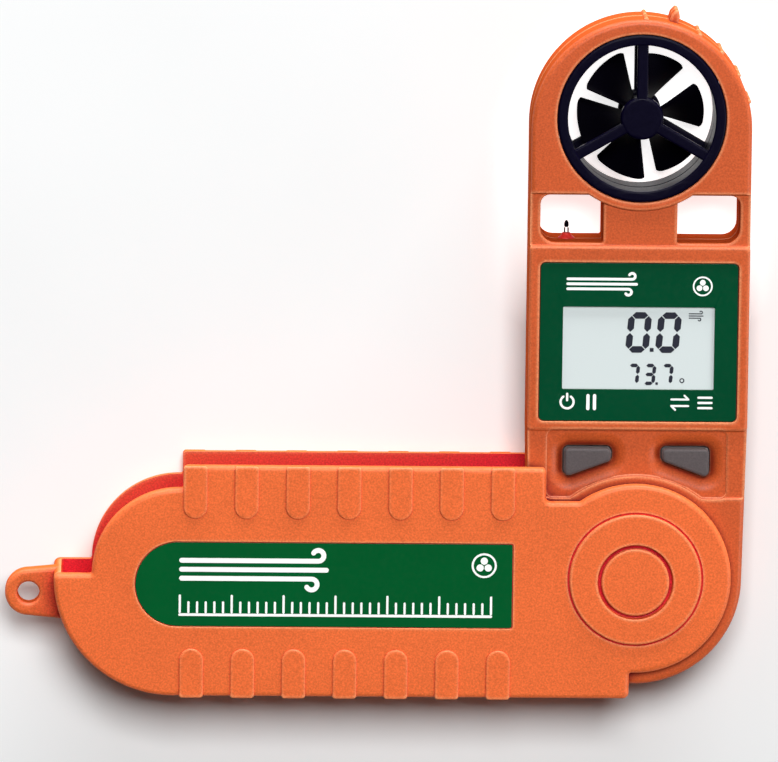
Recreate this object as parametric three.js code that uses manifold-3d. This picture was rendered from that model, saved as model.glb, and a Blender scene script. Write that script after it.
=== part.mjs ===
// Folding vane anemometer: a pocket wind meter that swings out of its own protective case.
// Millimetres. +Z points out of the display, +Y along the opened meter, -X along the case.
// The origin is on the fold pivot, level with the flat surface that the case lies on.

import * as THREE from 'three';
import { mergeVertices } from 'three/addons/utils/BufferGeometryUtils.js';
import Module from 'manifold-3d';

const wasm = await Module();
wasm.setup();

// ---------------------------------------------------------------- driving dimensions

const GAP = 0.3; // clearance between neighbouring pieces
const ARC_STEP = 12; // degrees of a large round per facet
const FINE_STEP = 30; // degrees of a small round per facet
const PAST = 1; // how far a cutting solid runs past the face it cuts

const CASE = {
  depth: 19, // over the pivot bosses
  relief: 0.5, // height of the pivot bosses over the plates
  plate: 2, // thickness of each plate
  top: 21.9,
  bottom: -22.8,
  spine: 1.4, // thickness of the wall that joins the plates
  spineEnd: -0.9, // x where the spine stops, so that the meter can swing
  corner: 1.2,
  disc: 18.3, // radius of the round end
  discY: 0.5, // its centre, a little above the pivot
  notchX: -17.3,
  notchY: 15.3,
  stepX: -86.4,
  crownX: -87, // centre of the upper-left quarter round
  crown: 16.75,
  shelfY: 0.8, // flat between the two quarter rounds
  tailX: -88.2, // centre of the lower-left quarter round
};
const LUG = { x: -115.8, y: -4.2, radius: 4.5, hole: 2.1, root: -109.6, low: 7.5, high: 11.5 };
const RIB = { count: 7, pitch: 9.77, width: 4.6, height: 0.3, wrap: 0.25 };
const UPPER_RIBS = { first: -84.1, length: 10.2 };
const LOWER_RIBS = { first: -84.65, length: 9.3 };
const BOSS = { radius: 12.6, recess: 7.2, recessDepth: 1.3 };
const LABEL = { left: -95.4, right: -23.5, y: -1, half: 8.1, thick: 0.25, recess: 0.35, glue: 0.05 };
const PIVOT = { head: 6.5, headThick: 1, post: 4.5, plug: 2.6, plugLow: 9 };

const METER = {
  half: 21, // half width, and the radius of the head's round end
  headY: 86.9, // centre of the head's round end
  foot: 20.4, // radius of the round end about the pivot
  waistY: 28.9, // the sides taper from here down to the foot
  rear: 2.8,
  front: 16,
  seam: 9.5, // where the two shells meet
  wall: 1.8,
};
const DISPLAY_FRAME = { low: 28.9, high: 64.5, front: 16.2 };
const OVERLAY = { halfX: 18.8, low: 30.8, high: 61.2, corner: 1, rear: 15.55, front: 15.95, play: 0.05 };
const SCREEN = { halfX: 14.45, low: 36.9, high: 52.8, margin: 0.55 };
const BAY = { halfX: 18, low: 15.5, high: 62.5, corner: 2, keyHigh: 29.6, keyFront: 13.2 };
const KEYPAD = { halfX: 17.2, floor: 15.2, bandFloor: 15.5, arc: 20.3, low: 15.9 };
const MEMBRANE = { halfX: 16.5, low: 17, high: 27.5, rear: 11.4, thick: 0.5, hole: 1.2 };
const DOME = { y: 23.7, radius: 2, thick: 0.5 };
const BUTTON = { outer: 13.8, inner: 4.9, top: 25.4, outerLow: 19.7, innerLow: 23, corner: 0.8 };
const BUTTON_DEPTH = { rear: 12.2, front: 15.9, flange: 0.6, flangeThick: 0.7 };
const BAND = { low: 64.5, high: 74.5, floor: 15.4 };
const WINDOW = { inner: 7.05, outer: 19, low: 65, high: 74.2, lowCorner: 2.7, highCorner: 1.7 };
const GRIP = { count: 6, first: 88.5, pitch: 14.7, width: 0.9, height: 0.4 };
const FIN = { width: 1.7, height: 2.4, low: 6, high: 13 }; // the second grip is this tall fin
const GRIP_INSET = 0.6; // the grip ribs stop this far inside the meter's faces

const FAN = { y: 89, outer: 16.05, bore: 14.05, rim: 17.7, proud: 0.1 };
const CARRIER = { strut: 2.1, strutThick: 1.5, hub: 4.1, hubThick: 1.9, inset: 0.2, socketWall: 0.5 };
const IMPELLER = {
  blades: 6,
  tip: 12.2,
  hub: 3.4,
  low: 6.6,
  high: 13.4,
  thick: 0.8,
  first: 10,
  gap: 1.5, // between neighbouring blades in plan, at the axis
  flare: 0.12, // how much the gap grows per mm of radius
};
const SHAFT_RADIUS = 0.5;
const BEARING = { outer: 1.6, depth: 1, front: 14.3, rear: 3.6 };
const MAGNET = { radius: 2.8, low: 5.3, high: 6.4 };

const BATTERY = { y: 46, radius: 10, rear: 5.5, thick: 3.2 };
const CONTACT = { halfX: 3, reach: 4, thick: 0.5, foot: 2.5, play: 0.2 };
const DOOR = { radius: 12, drum: 10.4, thick: 0.95, drumThick: 2.4 };
const DOOR_SEAL = { play: 0.05, washer: 0.2 };
const COIN_SLOT = { half: 6, halfWidth: 0.8, depth: 0.8 };
const BAYONET = { angle: 45, halfWidth: 1.8, play: 0.5 };
const BOARD = { rear: 9.7, front: 10.7, halfX: 17.2, low: 17, high: 61.7 };
const GLASS = { rear: 12, front: 13.9, raised: 15.5, halfX: 17, low: 33.6, high: 56 };
const CONTACT_STRIP = { halfX: 14, half: 0.8, ys: [54.6, 35], squeeze: 0.1 };
const CHIP = { y: 45, half: 3.5, thick: 1.05, stand: 0.05 };
const SCREW = {
  x: 15.6,
  ys: [30.5, 60.2],
  boss: 2.7,
  head: 1.9,
  headThick: 1.1,
  shank: 0.9,
  top: 13.2,
  seat: 4.4,
  crossReach: 1.3,
  crossHalf: 0.25,
  crossDepth: 0.5,
};
const HEAD_PLAY = 0.1; // between a screw's head and its seat
const SEAL = { inset: 1.1, width: 0.7, rise: 0.6 };
const SENSOR = { x: -13.8, base: 1.6, neck: 0.75, height: 1, stem: 0.8, stemDepth: 0.4 };
const LEAD = { radius: 0.15, x: 0.33, length: 1, end: 0.05 };
const BEAD = { radius: 0.45, straight: 0.5, low: 2.1 };
const HALL = { halfX: 2, low: 66.4, high: 69.6, half: 0.8, room: 1.2 }; // speed pickup under the fan

const FINISHES = {
  caseOrange: { color: 0xee6c38, roughness: 0.55, metalness: 0 },
  meterOrange: { color: 0xde6230, roughness: 0.5, metalness: 0 },
  green: { color: 0x00482a, roughness: 0.35, metalness: 0 },
  black: { color: 0x08061e, roughness: 0.3, metalness: 0 },
  rubber: { color: 0x69696e, roughness: 0.85, metalness: 0 },
  darkRubber: { color: 0x17171a, roughness: 0.85, metalness: 0 },
  glass: { color: 0xd7deda, roughness: 0.2, metalness: 0 },
  board: { color: 0x1c6b43, roughness: 0.6, metalness: 0 },
  steel: { color: 0xb8bcc0, roughness: 0.3, metalness: 1 },
  brass: { color: 0xc8a45a, roughness: 0.35, metalness: 1 },
};

// ---------------------------------------------------------------- solids and outlines

const radians = THREE.MathUtils.degToRad;
const degrees = THREE.MathUtils.radToDeg;

function solid(geometry) {
  geometry.deleteAttribute('normal');
  geometry.deleteAttribute('uv');
  const welded = mergeVertices(geometry, 1e-4);
  const vertProperties = welded.attributes.position.array;
  const triVerts = new Uint32Array(welded.index.array);
  return new wasm.Manifold(new wasm.Mesh({ numProp: 3, vertProperties, triVerts }));
}

function prism(points, low, high) {
  const shape = new THREE.Shape(points.map(([x, y]) => new THREE.Vector2(x, y)));
  const geometry = new THREE.ExtrudeGeometry(shape, { depth: high - low, bevelEnabled: false });
  return solid(geometry.translate(0, 0, low));
}

function arc(x, y, radius, from, to, step = ARC_STEP) {
  const count = Math.max(2, Math.ceil(Math.abs(to - from) / step));
  const pointAt = (i) => {
    const angle = radians(from + ((to - from) * i) / count);
    return [x + radius * Math.cos(angle), y + radius * Math.sin(angle)];
  };
  return Array.from({ length: count + 1 }, (_, i) => pointAt(i));
}

function drum(x, y, radius, low, high, step = ARC_STEP) {
  return prism(arc(x, y, radius, 0, 360, step).slice(1), low, high);
}

function ring(x, y, outer, inner, low, high, step = ARC_STEP) {
  return drum(x, y, outer, low, high, step).subtract(drum(x, y, inner, low - PAST, high + PAST, step));
}

function block(x0, x1, y0, y1, z0, z1) {
  const box = new THREE.BoxGeometry(x1 - x0, y1 - y0, z1 - z0);
  return solid(box.translate((x0 + x1) / 2, (y0 + y1) / 2, (z0 + z1) / 2));
}

// A polygon of [x, y, cornerRadius] points with each corner blended by a short curve.
function rounded(corners) {
  const toward = (from, to, distance) => from.clone().lerp(to, distance / from.distanceTo(to));
  const at = (i) => new THREE.Vector2(...corners[(i + corners.length) % corners.length].slice(0, 2));
  return corners.flatMap(([x, y, radius = 0], i) => {
    if (radius === 0) return [[x, y]];
    const start = toward(at(i), at(i - 1), radius);
    const end = toward(at(i), at(i + 1), radius);
    const blend = new THREE.QuadraticBezierCurve(start, at(i), end);
    return blend.getPoints(3).map((point) => [point.x, point.y]);
  });
}

function rectangle(halfX, low, high, corner = 0) {
  const corners = [[-halfX, low], [halfX, low], [halfX, high], [-halfX, high]];
  return rounded(corners.map(([x, y]) => [x, y, corner]));
}

// The meter seen from the front: round head, straight sides, and a round foot about the pivot.
function meterOutline() {
  const { half, headY, foot, waistY } = METER;
  return [...arc(0, headY, half, 0, 180), [-half, waistY], ...arc(0, 0, foot, 180, 360), [half, waistY]];
}

function joined(solids) {
  return solids.reduce((whole, next) => whole.add(next));
}

function piece(name, body, finish) {
  const { vertProperties, triVerts } = body.getMesh();
  const geometry = new THREE.BufferGeometry();
  geometry.setAttribute('position', new THREE.BufferAttribute(vertProperties, 3));
  geometry.setIndex(new THREE.BufferAttribute(triVerts, 1));
  geometry.computeVertexNormals();
  const mesh = new THREE.Mesh(geometry, new THREE.MeshStandardMaterial(FINISHES[finish]));
  mesh.name = name;
  return mesh;
}

function assembly(children, position = [0, 0, 0]) {
  const group = new THREE.Group();
  group.position.set(...position);
  if (children.length > 0) group.add(...children);
  return group;
}

// ---------------------------------------------------------------- protective case

const plateRear = CASE.relief;
const insideRear = plateRear + CASE.plate;
const insideFront = CASE.depth - CASE.relief - CASE.plate;
const plateFront = CASE.depth - CASE.relief;
const tailRadius = -CASE.bottom;
const tailAngle = 180 - degrees(Math.asin(CASE.shelfY / tailRadius));

function spineCorner() {
  return arc(CASE.spineEnd - CASE.corner, CASE.bottom + CASE.corner, CASE.corner, 270, 360, FINE_STEP);
}

function plateOutline() {
  const footY = -Math.sqrt(CASE.disc ** 2 - CASE.spineEnd ** 2);
  const footAngle = degrees(Math.atan2(footY, CASE.spineEnd));
  const notchAngle = 180 - degrees(Math.asin((CASE.notchY - CASE.discY) / CASE.disc));
  const crownAngle = degrees(Math.acos((CASE.stepX - CASE.crownX) / CASE.crown));
  return [
    ...arc(0, CASE.discY, CASE.disc, footAngle, notchAngle),
    [CASE.notchX, CASE.notchY],
    [CASE.notchX, CASE.top],
    [CASE.stepX, CASE.top],
    ...arc(CASE.crownX, CASE.shelfY, CASE.crown, crownAngle, 180),
    ...arc(CASE.tailX, 0, tailRadius, tailAngle, 270),
    ...spineCorner(),
  ];
}

function spine(low, high) {
  const inner = tailRadius - CASE.spine;
  const outline = [
    ...arc(CASE.tailX, 0, tailRadius, tailAngle, 270),
    ...spineCorner(),
    [CASE.spineEnd, -inner],
    ...arc(CASE.tailX, 0, inner, 270, 180 - degrees(Math.asin(CASE.shelfY / inner))),
  ];
  return prism(outline, low, high);
}

// Grip ribs along one long edge of the case; side is +1 at the open edge and -1 at the spine.
function ribRow(side, low, high) {
  const half = RIB.width / 2;
  const { first, length } = side > 0 ? UPPER_RIBS : LOWER_RIBS;
  const edge = side > 0 ? CASE.top : CASE.bottom - RIB.wrap;
  const tipY = side > 0 ? CASE.top - length + half : CASE.bottom + length - half;
  const ribs = [];
  for (let i = 0; i < RIB.count; i += 1) {
    const x = first + i * RIB.pitch;
    const tip = arc(x, tipY, half, 180, 180 + side * 180, FINE_STEP);
    ribs.push(prism([[x - half, edge], ...tip, [x + half, edge]], low, high));
  }
  return joined(ribs);
}

// The stretch of each lower rib that wraps round the outside of the spine.
function spineRibs(low, high) {
  const wrapped = block(CASE.stepX - RIB.width, 0, CASE.bottom - RIB.wrap, CASE.bottom + 1, low, high);
  return ribRow(-1, low, high).intersect(wrapped);
}

function lug() {
  const { x, y, radius, hole, root, low, high } = LUG;
  const outline = [...arc(x, y, radius, 90, 270), [root, y - radius], [root, y + radius]];
  return prism(outline, low, high).subtract(drum(x, y, hole, low - PAST, high + PAST, 20));
}

function labelOutline(grow) {
  const half = LABEL.half + grow;
  const centre = LABEL.left + LABEL.half;
  const right = LABEL.right + grow;
  return [...arc(centre, LABEL.y, half, 90, 270), [right, LABEL.y - half], [right, LABEL.y + half]];
}

function caseFrontCover() {
  const body = joined([
    prism(plateOutline(), insideFront, plateFront),
    ribRow(1, insideFront, plateFront + RIB.height),
    ribRow(-1, insideFront, plateFront + RIB.height),
    drum(0, CASE.discY, BOSS.radius, insideFront, CASE.depth),
  ]);
  return body
    .subtract(drum(0, 0, BOSS.recess, CASE.depth - BOSS.recessDepth, CASE.depth + PAST))
    .subtract(drum(0, 0, PIVOT.post + GAP, insideFront - PAST, CASE.depth))
    .subtract(prism(labelOutline(GAP / 2), plateFront - LABEL.recess, plateFront + PAST));
}

function caseRearCover() {
  const body = joined([
    prism(plateOutline(), plateRear, insideRear),
    ribRow(1, plateRear - RIB.height, insideRear),
    ribRow(-1, plateRear - RIB.height, insideRear),
    drum(0, CASE.discY, BOSS.radius, 0, insideRear),
    spine(plateRear, insideFront - GAP),
    spineRibs(plateRear - RIB.height, insideFront - GAP),
    lug(),
  ]);
  return body
    .subtract(drum(0, 0, BOSS.recess, -PAST, BOSS.recessDepth))
    .subtract(drum(0, 0, PIVOT.post + GAP, 0, insideRear + PAST));
}

function caseLabel() {
  const low = plateFront - LABEL.recess + LABEL.glue;
  return prism(labelOutline(0), low, low + LABEL.thick);
}

function pivotPost() {
  const stemTop = CASE.depth - BOSS.recessDepth - GAP;
  return drum(0, 0, PIVOT.head, 0, PIVOT.headThick)
    .add(drum(0, 0, PIVOT.post, 0, stemTop))
    .subtract(drum(0, 0, PIVOT.plug + GAP, PIVOT.plugLow - 1, stemTop + PAST));
}

function pivotCap() {
  const headLow = CASE.depth - PIVOT.headThick;
  return drum(0, 0, PIVOT.head, headLow, CASE.depth).add(drum(0, 0, PIVOT.plug, PIVOT.plugLow, CASE.depth));
}

// ---------------------------------------------------------------- meter shells

const shellRearTop = METER.seam - GAP / 2;
const shellFrontLow = METER.seam + GAP / 2;
const bayFront = METER.front - METER.wall;
const bayRear = METER.rear + METER.wall;
const WASHER = { outer: 8.6, low: 15.35, high: 15.85, well: 0.1 };
const PIVOT_RELIEF = { outer: 12.4, inner: 7.4 }; // hollow round the pivot, inside the shells

// Grip ribs on the side of the head, with the second one raised into a thumb fin.
function headGrips(low, high) {
  const grips = [];
  for (let i = 0; i < GRIP.count; i += 1) {
    const isFin = i === 1;
    const { width, height } = isFin ? FIN : GRIP;
    const bottom = isFin ? Math.max(low, FIN.low) : low;
    const top = isFin ? Math.min(high, FIN.high) : high;
    const bar = new THREE.BoxGeometry(height + 1, width, top - bottom);
    bar.translate(METER.half + (height - 1) / 2, 0, (bottom + top) / 2);
    bar.rotateZ(radians(GRIP.first - i * GRIP.pitch));
    grips.push(solid(bar.translate(0, METER.headY, 0)));
  }
  return joined(grips);
}

function windows(low, high) {
  const openings = [-1, 1].map((side) => prism(rounded([
    [side * WINDOW.inner, WINDOW.low],
    [side * WINDOW.outer, WINDOW.low, WINDOW.lowCorner],
    [side * WINDOW.outer, WINDOW.high, WINDOW.highCorner],
    [side * WINDOW.inner, WINDOW.high],
  ]), low, high));
  return joined(openings);
}

// The sunken band across the windows, on the front face.
function windowBand() {
  const half = METER.half + PAST;
  return block(-half, half, BAND.low, BAND.high, BAND.floor, METER.front + PAST);
}

// Puts back the round wall about the fan duct, which stands into the windows, and bores the duct.
function withFanRim(shell, low, high) {
  return shell
    .add(drum(0, FAN.y, FAN.rim, low, high))
    .subtract(drum(0, FAN.y, FAN.outer + GAP, low - PAST, high + PAST))
    .subtract(sensorPocket());
}

function screwSpots() {
  return SCREW.ys.flatMap((y) => [[-SCREW.x, y], [SCREW.x, y]]);
}

function screwDrums(radius, low, high) {
  return joined(screwSpots().map(([x, y]) => drum(x, y, radius, low, high, FINE_STEP)));
}

// Room for the electronics; it is shallower behind the keys.
function bay(low, high) {
  const { halfX, keyHigh, keyFront } = BAY;
  return prism(rectangle(halfX, BAY.low, BAY.high, BAY.corner), low, high)
    .subtract(screwDrums(SCREW.boss, low, high))
    .subtract(block(-halfX, halfX, BAY.low, keyHigh, keyFront, METER.front));
}

function sealLoop(grow, low, high) {
  const inner = SEAL.inset - SEAL.width / 2 - grow;
  const outer = SEAL.inset + SEAL.width / 2 + grow;
  const loop = (offset) => rectangle(BAY.halfX + offset, BAY.low - offset, BAY.high + offset, BAY.corner);
  return prism(loop(outer), low, high).subtract(prism(loop(inner), low - PAST, high + PAST));
}

function sensorPocket() {
  const { halfX, low, high, half, room } = HALL;
  const [side, top] = [halfX + room, half + room];
  return block(-side, side, low - room, high + room, METER.seam - top, METER.seam + top);
}

function grommetHole() {
  const half = SENSOR.stem + GAP;
  const low = WINDOW.low - SENSOR.stemDepth - GAP;
  const [left, right] = [SENSOR.x - half, SENSOR.x + half];
  return block(left, right, low, WINDOW.low + PAST, METER.seam - half, METER.seam + half);
}

function wedge(side, grow) {
  const corner = BUTTON.corner + grow;
  return rounded([
    [side * (BUTTON.outer + grow), BUTTON.top + grow, corner],
    [side * (BUTTON.inner - grow), BUTTON.top + grow, corner],
    [side * (BUTTON.inner - grow), BUTTON.innerLow - grow, corner],
    [side * (BUTTON.outer + grow), BUTTON.outerLow - grow, corner],
  ]);
}

// A shallow band across the meter with a deeper recess in it; the round pivot area stands in both.
function keypadRecess() {
  const { halfX, low, floor, bandFloor } = KEYPAD;
  const above = METER.front + PAST;
  return prism(rectangle(METER.half + PAST, low, DISPLAY_FRAME.low), bandFloor, above)
    .add(prism(rectangle(halfX, low, DISPLAY_FRAME.low), floor, above))
    .subtract(drum(0, 0, KEYPAD.arc, floor - PAST, above));
}

// What both shells lose: windows, pivot bore and the pockets that open at the seam.
function commonCuts(low, high) {
  return joined([
    windows(METER.rear - PAST, METER.front + PAST),
    drum(0, 0, PIVOT.post + GAP, METER.rear - PAST, METER.front + PAST),
    ring(0, 0, PIVOT_RELIEF.outer, PIVOT_RELIEF.inner, low, high),
    bay(low, high),
    sealLoop(GAP, METER.seam - SEAL.rise - GAP, METER.seam + SEAL.rise + GAP),
    grommetHole(),
  ]);
}

function meterFrontShell() {
  const { low, high, front } = DISPLAY_FRAME;
  const overlayHole = rectangle(OVERLAY.halfX + GAP, OVERLAY.low - GAP, OVERLAY.high + GAP, OVERLAY.corner);
  const pocketFloor = OVERLAY.rear - OVERLAY.play;
  const opening = (grow) => rectangle(SCREEN.halfX + grow, SCREEN.low - grow, SCREEN.high + grow);
  const body = joined([
    prism(meterOutline(), shellFrontLow, METER.front),
    block(-METER.half, METER.half, low, high, METER.seam + 1, front),
    headGrips(shellFrontLow, METER.front - GRIP_INSET),
  ]);
  const opened = body.subtract(commonCuts(METER.seam - PAST, bayFront)).subtract(windowBand());
  return withFanRim(opened, shellFrontLow, METER.front)
    .subtract(keypadRecess())
    .subtract(prism(overlayHole, pocketFloor, front + PAST))
    .subtract(prism(opening(SCREEN.margin), bayFront - PAST, front))
    .subtract(prism(wedge(-1, GAP), BAY.keyFront - PAST, METER.front))
    .subtract(prism(wedge(1, GAP), BAY.keyFront - PAST, METER.front))
    .subtract(drum(0, 0, WASHER.outer + GAP, WASHER.low - WASHER.well, METER.front + PAST))
    .subtract(screwDrums(SCREW.shank + GAP, METER.seam - PAST, SCREW.top + GAP));
}

function doorLug(angle, radius, halfWidth, low, high) {
  const bar = new THREE.BoxGeometry(radius, 2 * halfWidth, high - low);
  bar.translate(radius / 2, 0, (low + high) / 2);
  return solid(bar.rotateZ(radians(angle)));
}

// The gap in the shell that a lug passes when the door is turned to this angle.
function doorGate(angle) {
  return doorLug(angle, DOOR.radius + GAP, BAYONET.halfWidth + BAYONET.play, METER.rear, bayRear + PAST);
}

function meterRearShell() {
  const doorHole = joined([
    drum(0, 0, DOOR.radius + GAP, METER.rear - PAST, METER.rear + DOOR.thick + GAP),
    drum(0, 0, DOOR.drum + GAP, METER.rear, bayRear + PAST),
    doorGate(BAYONET.angle),
    doorGate(BAYONET.angle + 180),
  ]).translate([0, BATTERY.y, 0]);
  const body = joined([
    prism(meterOutline(), METER.rear, shellRearTop),
    headGrips(METER.rear + GRIP_INSET, shellRearTop),
  ]);
  const opened = body.subtract(commonCuts(bayRear, METER.seam + PAST));
  return withFanRim(opened, METER.rear, shellRearTop)
    .subtract(doorHole)
    .subtract(screwDrums(SCREW.head + GAP, METER.rear - PAST, SCREW.seat))
    .subtract(screwDrums(SCREW.shank + GAP, METER.rear, METER.seam));
}

// ---------------------------------------------------------------- display and keys

function displayOverlay() {
  const outline = rectangle(OVERLAY.halfX, OVERLAY.low, OVERLAY.high, OVERLAY.corner);
  const view = rectangle(SCREEN.halfX, SCREEN.low, SCREEN.high);
  return prism(outline, OVERLAY.rear, OVERLAY.front)
    .subtract(prism(view, OVERLAY.rear - PAST, OVERLAY.front + PAST));
}

// The display module; its raised front stands in the shell's opening, just behind the overlay.
function lcdGlass() {
  const grow = SCREEN.margin - GAP;
  const raised = rectangle(SCREEN.halfX + grow, SCREEN.low - grow, SCREEN.high + grow);
  return prism(rectangle(GLASS.halfX, GLASS.low, GLASS.high), GLASS.rear, GLASS.front)
    .subtract(screwDrums(SCREW.boss + GAP, GLASS.rear - PAST, GLASS.front + PAST))
    .add(prism(raised, GLASS.rear, GLASS.raised));
}

function contactStrip(y) {
  const { halfX, half, squeeze } = CONTACT_STRIP;
  return block(-halfX, halfX, y - half, y + half, BOARD.front + squeeze, GLASS.rear - squeeze);
}

function button(side) {
  const { rear, front, flange, flangeThick } = BUTTON_DEPTH;
  return prism(wedge(side, 0), rear, front).add(prism(wedge(side, flange), rear, rear + flangeThick));
}

function keypadMembrane() {
  const { halfX, low, high, rear, thick, hole } = MEMBRANE;
  const front = rear + thick;
  return prism(rectangle(halfX, low, high, 1), rear, front)
    .subtract(prism(wedge(-1, hole), rear - PAST, front + PAST))
    .subtract(prism(wedge(1, hole), rear - PAST, front + PAST));
}

function keyDome(side) {
  const x = (side * (BUTTON.outer + BUTTON.inner)) / 2;
  const low = BOARD.front + CHIP.stand;
  return drum(x, DOME.y, DOME.radius, low, low + DOME.thick, FINE_STEP);
}

// ---------------------------------------------------------------- electronics and battery

function circuitBoard() {
  return prism(rectangle(BOARD.halfX, BOARD.low, BOARD.high, 1.5), BOARD.rear, BOARD.front)
    .subtract(screwDrums(SCREW.boss + GAP, BOARD.rear - PAST, BOARD.front + PAST));
}

function controllerChip() {
  const { y, half, thick, stand } = CHIP;
  const low = BOARD.front + stand;
  return block(-half, half, y - half, y + half, low, low + thick);
}

function coinCell() {
  const { y, radius, rear, thick } = BATTERY;
  return drum(0, y, radius, rear, rear + thick);
}

function negativeContact() {
  const { halfX, reach, play } = CONTACT;
  const low = BATTERY.rear + BATTERY.thick + play;
  return block(-halfX, halfX, BATTERY.y - reach, BATTERY.y + reach, low, BOARD.rear - play);
}

// A spring clip that stands on the board beside the cell and bears on its rim.
function positiveClip() {
  const { halfX, thick, foot, play } = CONTACT;
  const y = BATTERY.y - BATTERY.radius - GAP;
  const top = BOARD.rear - play;
  return block(-halfX, halfX, y - thick, y, BATTERY.rear, top)
    .add(block(-halfX, halfX, y - foot, y, top - thick, top));
}

function batteryDoor() {
  const { radius, drum: drumRadius, thick, drumThick } = DOOR;
  const { half, halfWidth, depth } = COIN_SLOT;
  const lugLow = bayRear + CONTACT.play;
  const lugHigh = METER.rear + drumThick;
  return joined([
    drum(0, 0, radius, METER.rear, METER.rear + thick),
    drum(0, 0, drumRadius, METER.rear, lugHigh),
    doorLug(0, radius - GAP, BAYONET.halfWidth, lugLow, lugHigh),
    doorLug(180, radius - GAP, BAYONET.halfWidth, lugLow, lugHigh),
  ]).subtract(block(-half, half, -halfWidth, halfWidth, METER.rear - PAST, METER.rear + depth));
}

// A flat washer under the door's flange.
function batteryDoorSeal() {
  const { play, washer } = DOOR_SEAL;
  const low = METER.rear + DOOR.thick + play;
  return ring(0, 0, DOOR.radius - GAP, DOOR.drum + GAP, low, low + washer);
}

function speedSensor() {
  const { halfX, low, high, half } = HALL;
  return block(-halfX, halfX, low, high, METER.seam - half, METER.seam + half);
}

function shellScrew(x, y) {
  const { head, headThick, shank, top, crossReach: reach, crossHalf: half, crossDepth } = SCREW;
  const headTop = SCREW.seat - HEAD_PLAY;
  const low = headTop - headThick;
  const floor = low + crossDepth;
  return drum(x, y, head, low, headTop, FINE_STEP)
    .add(drum(x, y, shank, low, top, FINE_STEP))
    .subtract(block(x - reach, x + reach, y - half, y + half, low - PAST, floor))
    .subtract(block(x - half, x + half, y - reach, y + reach, low - PAST, floor));
}

// ---------------------------------------------------------------- air temperature sensor

// Built along +Y from the window's lower wall, about the sensor's own axis.
function alongY(geometry, low, high) {
  return solid(geometry.translate(0, (low + high) / 2, 0));
}

function sensorGrommet() {
  const { base, neck, height, stem, stemDepth } = SENSOR;
  const foot = height / 20;
  const cone = alongY(new THREE.CylinderGeometry(neck, base, height, 16), foot, foot + height);
  const plug = new THREE.CylinderGeometry(stem, stem, stemDepth + height / 2, 12);
  return cone.add(alongY(plug, -stemDepth, height / 2));
}

function sensorLead(side) {
  const { radius, x, length } = LEAD;
  const low = BEAD.low - length;
  const geometry = new THREE.CylinderGeometry(radius, radius, length - LEAD.end, 8);
  return alongY(geometry.translate(side * x, 0, 0), low, BEAD.low - LEAD.end);
}

function sensorBead() {
  const { radius, straight, low } = BEAD;
  return alongY(new THREE.CapsuleGeometry(radius, straight, 4, 12), low, low + straight + 2 * radius);
}

// ---------------------------------------------------------------- vane wheel

// Half of the fan duct, with three struts that carry a bearing; faces is +1 for the front half.
function vaneHousing(faces) {
  const { strut, strutThick, hub, hubThick, inset, socketWall } = CARRIER;
  const isFront = faces > 0;
  const low = isFront ? shellFrontLow : METER.rear + FAN.proud;
  const high = isFront ? METER.front + FAN.proud : shellRearTop;
  const hubLow = isFront ? high - inset - hubThick : low + inset;
  const strutLow = isFront ? high - inset - strutThick : low + inset;
  const struts = [90, 210, 330].map((angle) => {
    const length = FAN.bore + 1;
    const bar = new THREE.BoxGeometry(length, strut, strutThick);
    bar.translate(length / 2, 0, strutLow + strutThick / 2);
    return solid(bar.rotateZ(radians(angle)));
  });
  const socketLow = isFront ? hubLow - PAST : hubLow + socketWall;
  const socketHigh = isFront ? high - inset - socketWall : hubLow + hubThick + PAST;
  const duct = ring(0, 0, FAN.outer, FAN.bore, low, high, 10);
  return joined([duct, drum(0, 0, hub, hubLow, hubLow + hubThick, 20), ...struts])
    .subtract(drum(0, 0, BEARING.outer + GAP, socketLow, socketHigh, FINE_STEP));
}

function bearing(low) {
  return ring(0, 0, BEARING.outer, SHAFT_RADIUS + GAP, low, low + BEARING.depth, FINE_STEP);
}

function impellerShaft() {
  const top = BEARING.front + BEARING.depth;
  return drum(0, 0, SHAFT_RADIUS, BEARING.rear + HEAD_PLAY, top - HEAD_PLAY, FINE_STEP);
}

function impellerMagnet() {
  const { radius, low, high } = MAGNET;
  return ring(0, 0, radius, SHAFT_RADIUS + GAP, low, high, FINE_STEP);
}

// The angle that a blade turns through, so that it fills its share of the circle less the gap.
function bladeSweep(radius) {
  const { blades, gap, flare } = IMPELLER;
  return 360 / blades - 2 * degrees(Math.asin((gap + flare * radius) / 2 / radius));
}

// A blade is a flat bar twisted about the axis.
function blade(index) {
  const { tip, hub, low, high, thick, first, blades } = IMPELLER;
  const root = hub - thick;
  const depth = high - low - thick / 2;
  const bar = new THREE.BoxGeometry(tip - root, thick, depth, 3, 1, 6);
  bar.translate((tip + root) / 2, 0, 0);
  const points = bar.attributes.position;
  const point = new THREE.Vector3();
  const axis = new THREE.Vector3(0, 0, 1);
  for (let i = 0; i < points.count; i += 1) {
    point.fromBufferAttribute(points, i);
    point.applyAxisAngle(axis, radians(bladeSweep(point.x) * (point.z / depth)));
    points.setXYZ(i, point.x, point.y, point.z);
  }
  bar.rotateZ(radians(first + (index * 360) / blades));
  return solid(bar.translate(0, 0, (low + high) / 2));
}

function impeller() {
  const { blades, hub, low, high } = IMPELLER;
  const vanes = Array.from({ length: blades }, (_, i) => blade(i));
  return joined([drum(0, 0, hub, low, high, 15), ...vanes])
    .subtract(drum(0, 0, SHAFT_RADIUS + GAP, low - PAST, high + PAST, FINE_STEP));
}

// ---------------------------------------------------------------- the assembly

const caseGroup = assembly([
  piece('case_front_cover', caseFrontCover(), 'caseOrange'),
  piece('case_rear_cover', caseRearCover(), 'caseOrange'),
  piece('case_label', caseLabel(), 'green'),
  piece('pivot_post', pivotPost(), 'caseOrange'),
  piece('pivot_cap', pivotCap(), 'caseOrange'),
]);

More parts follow.
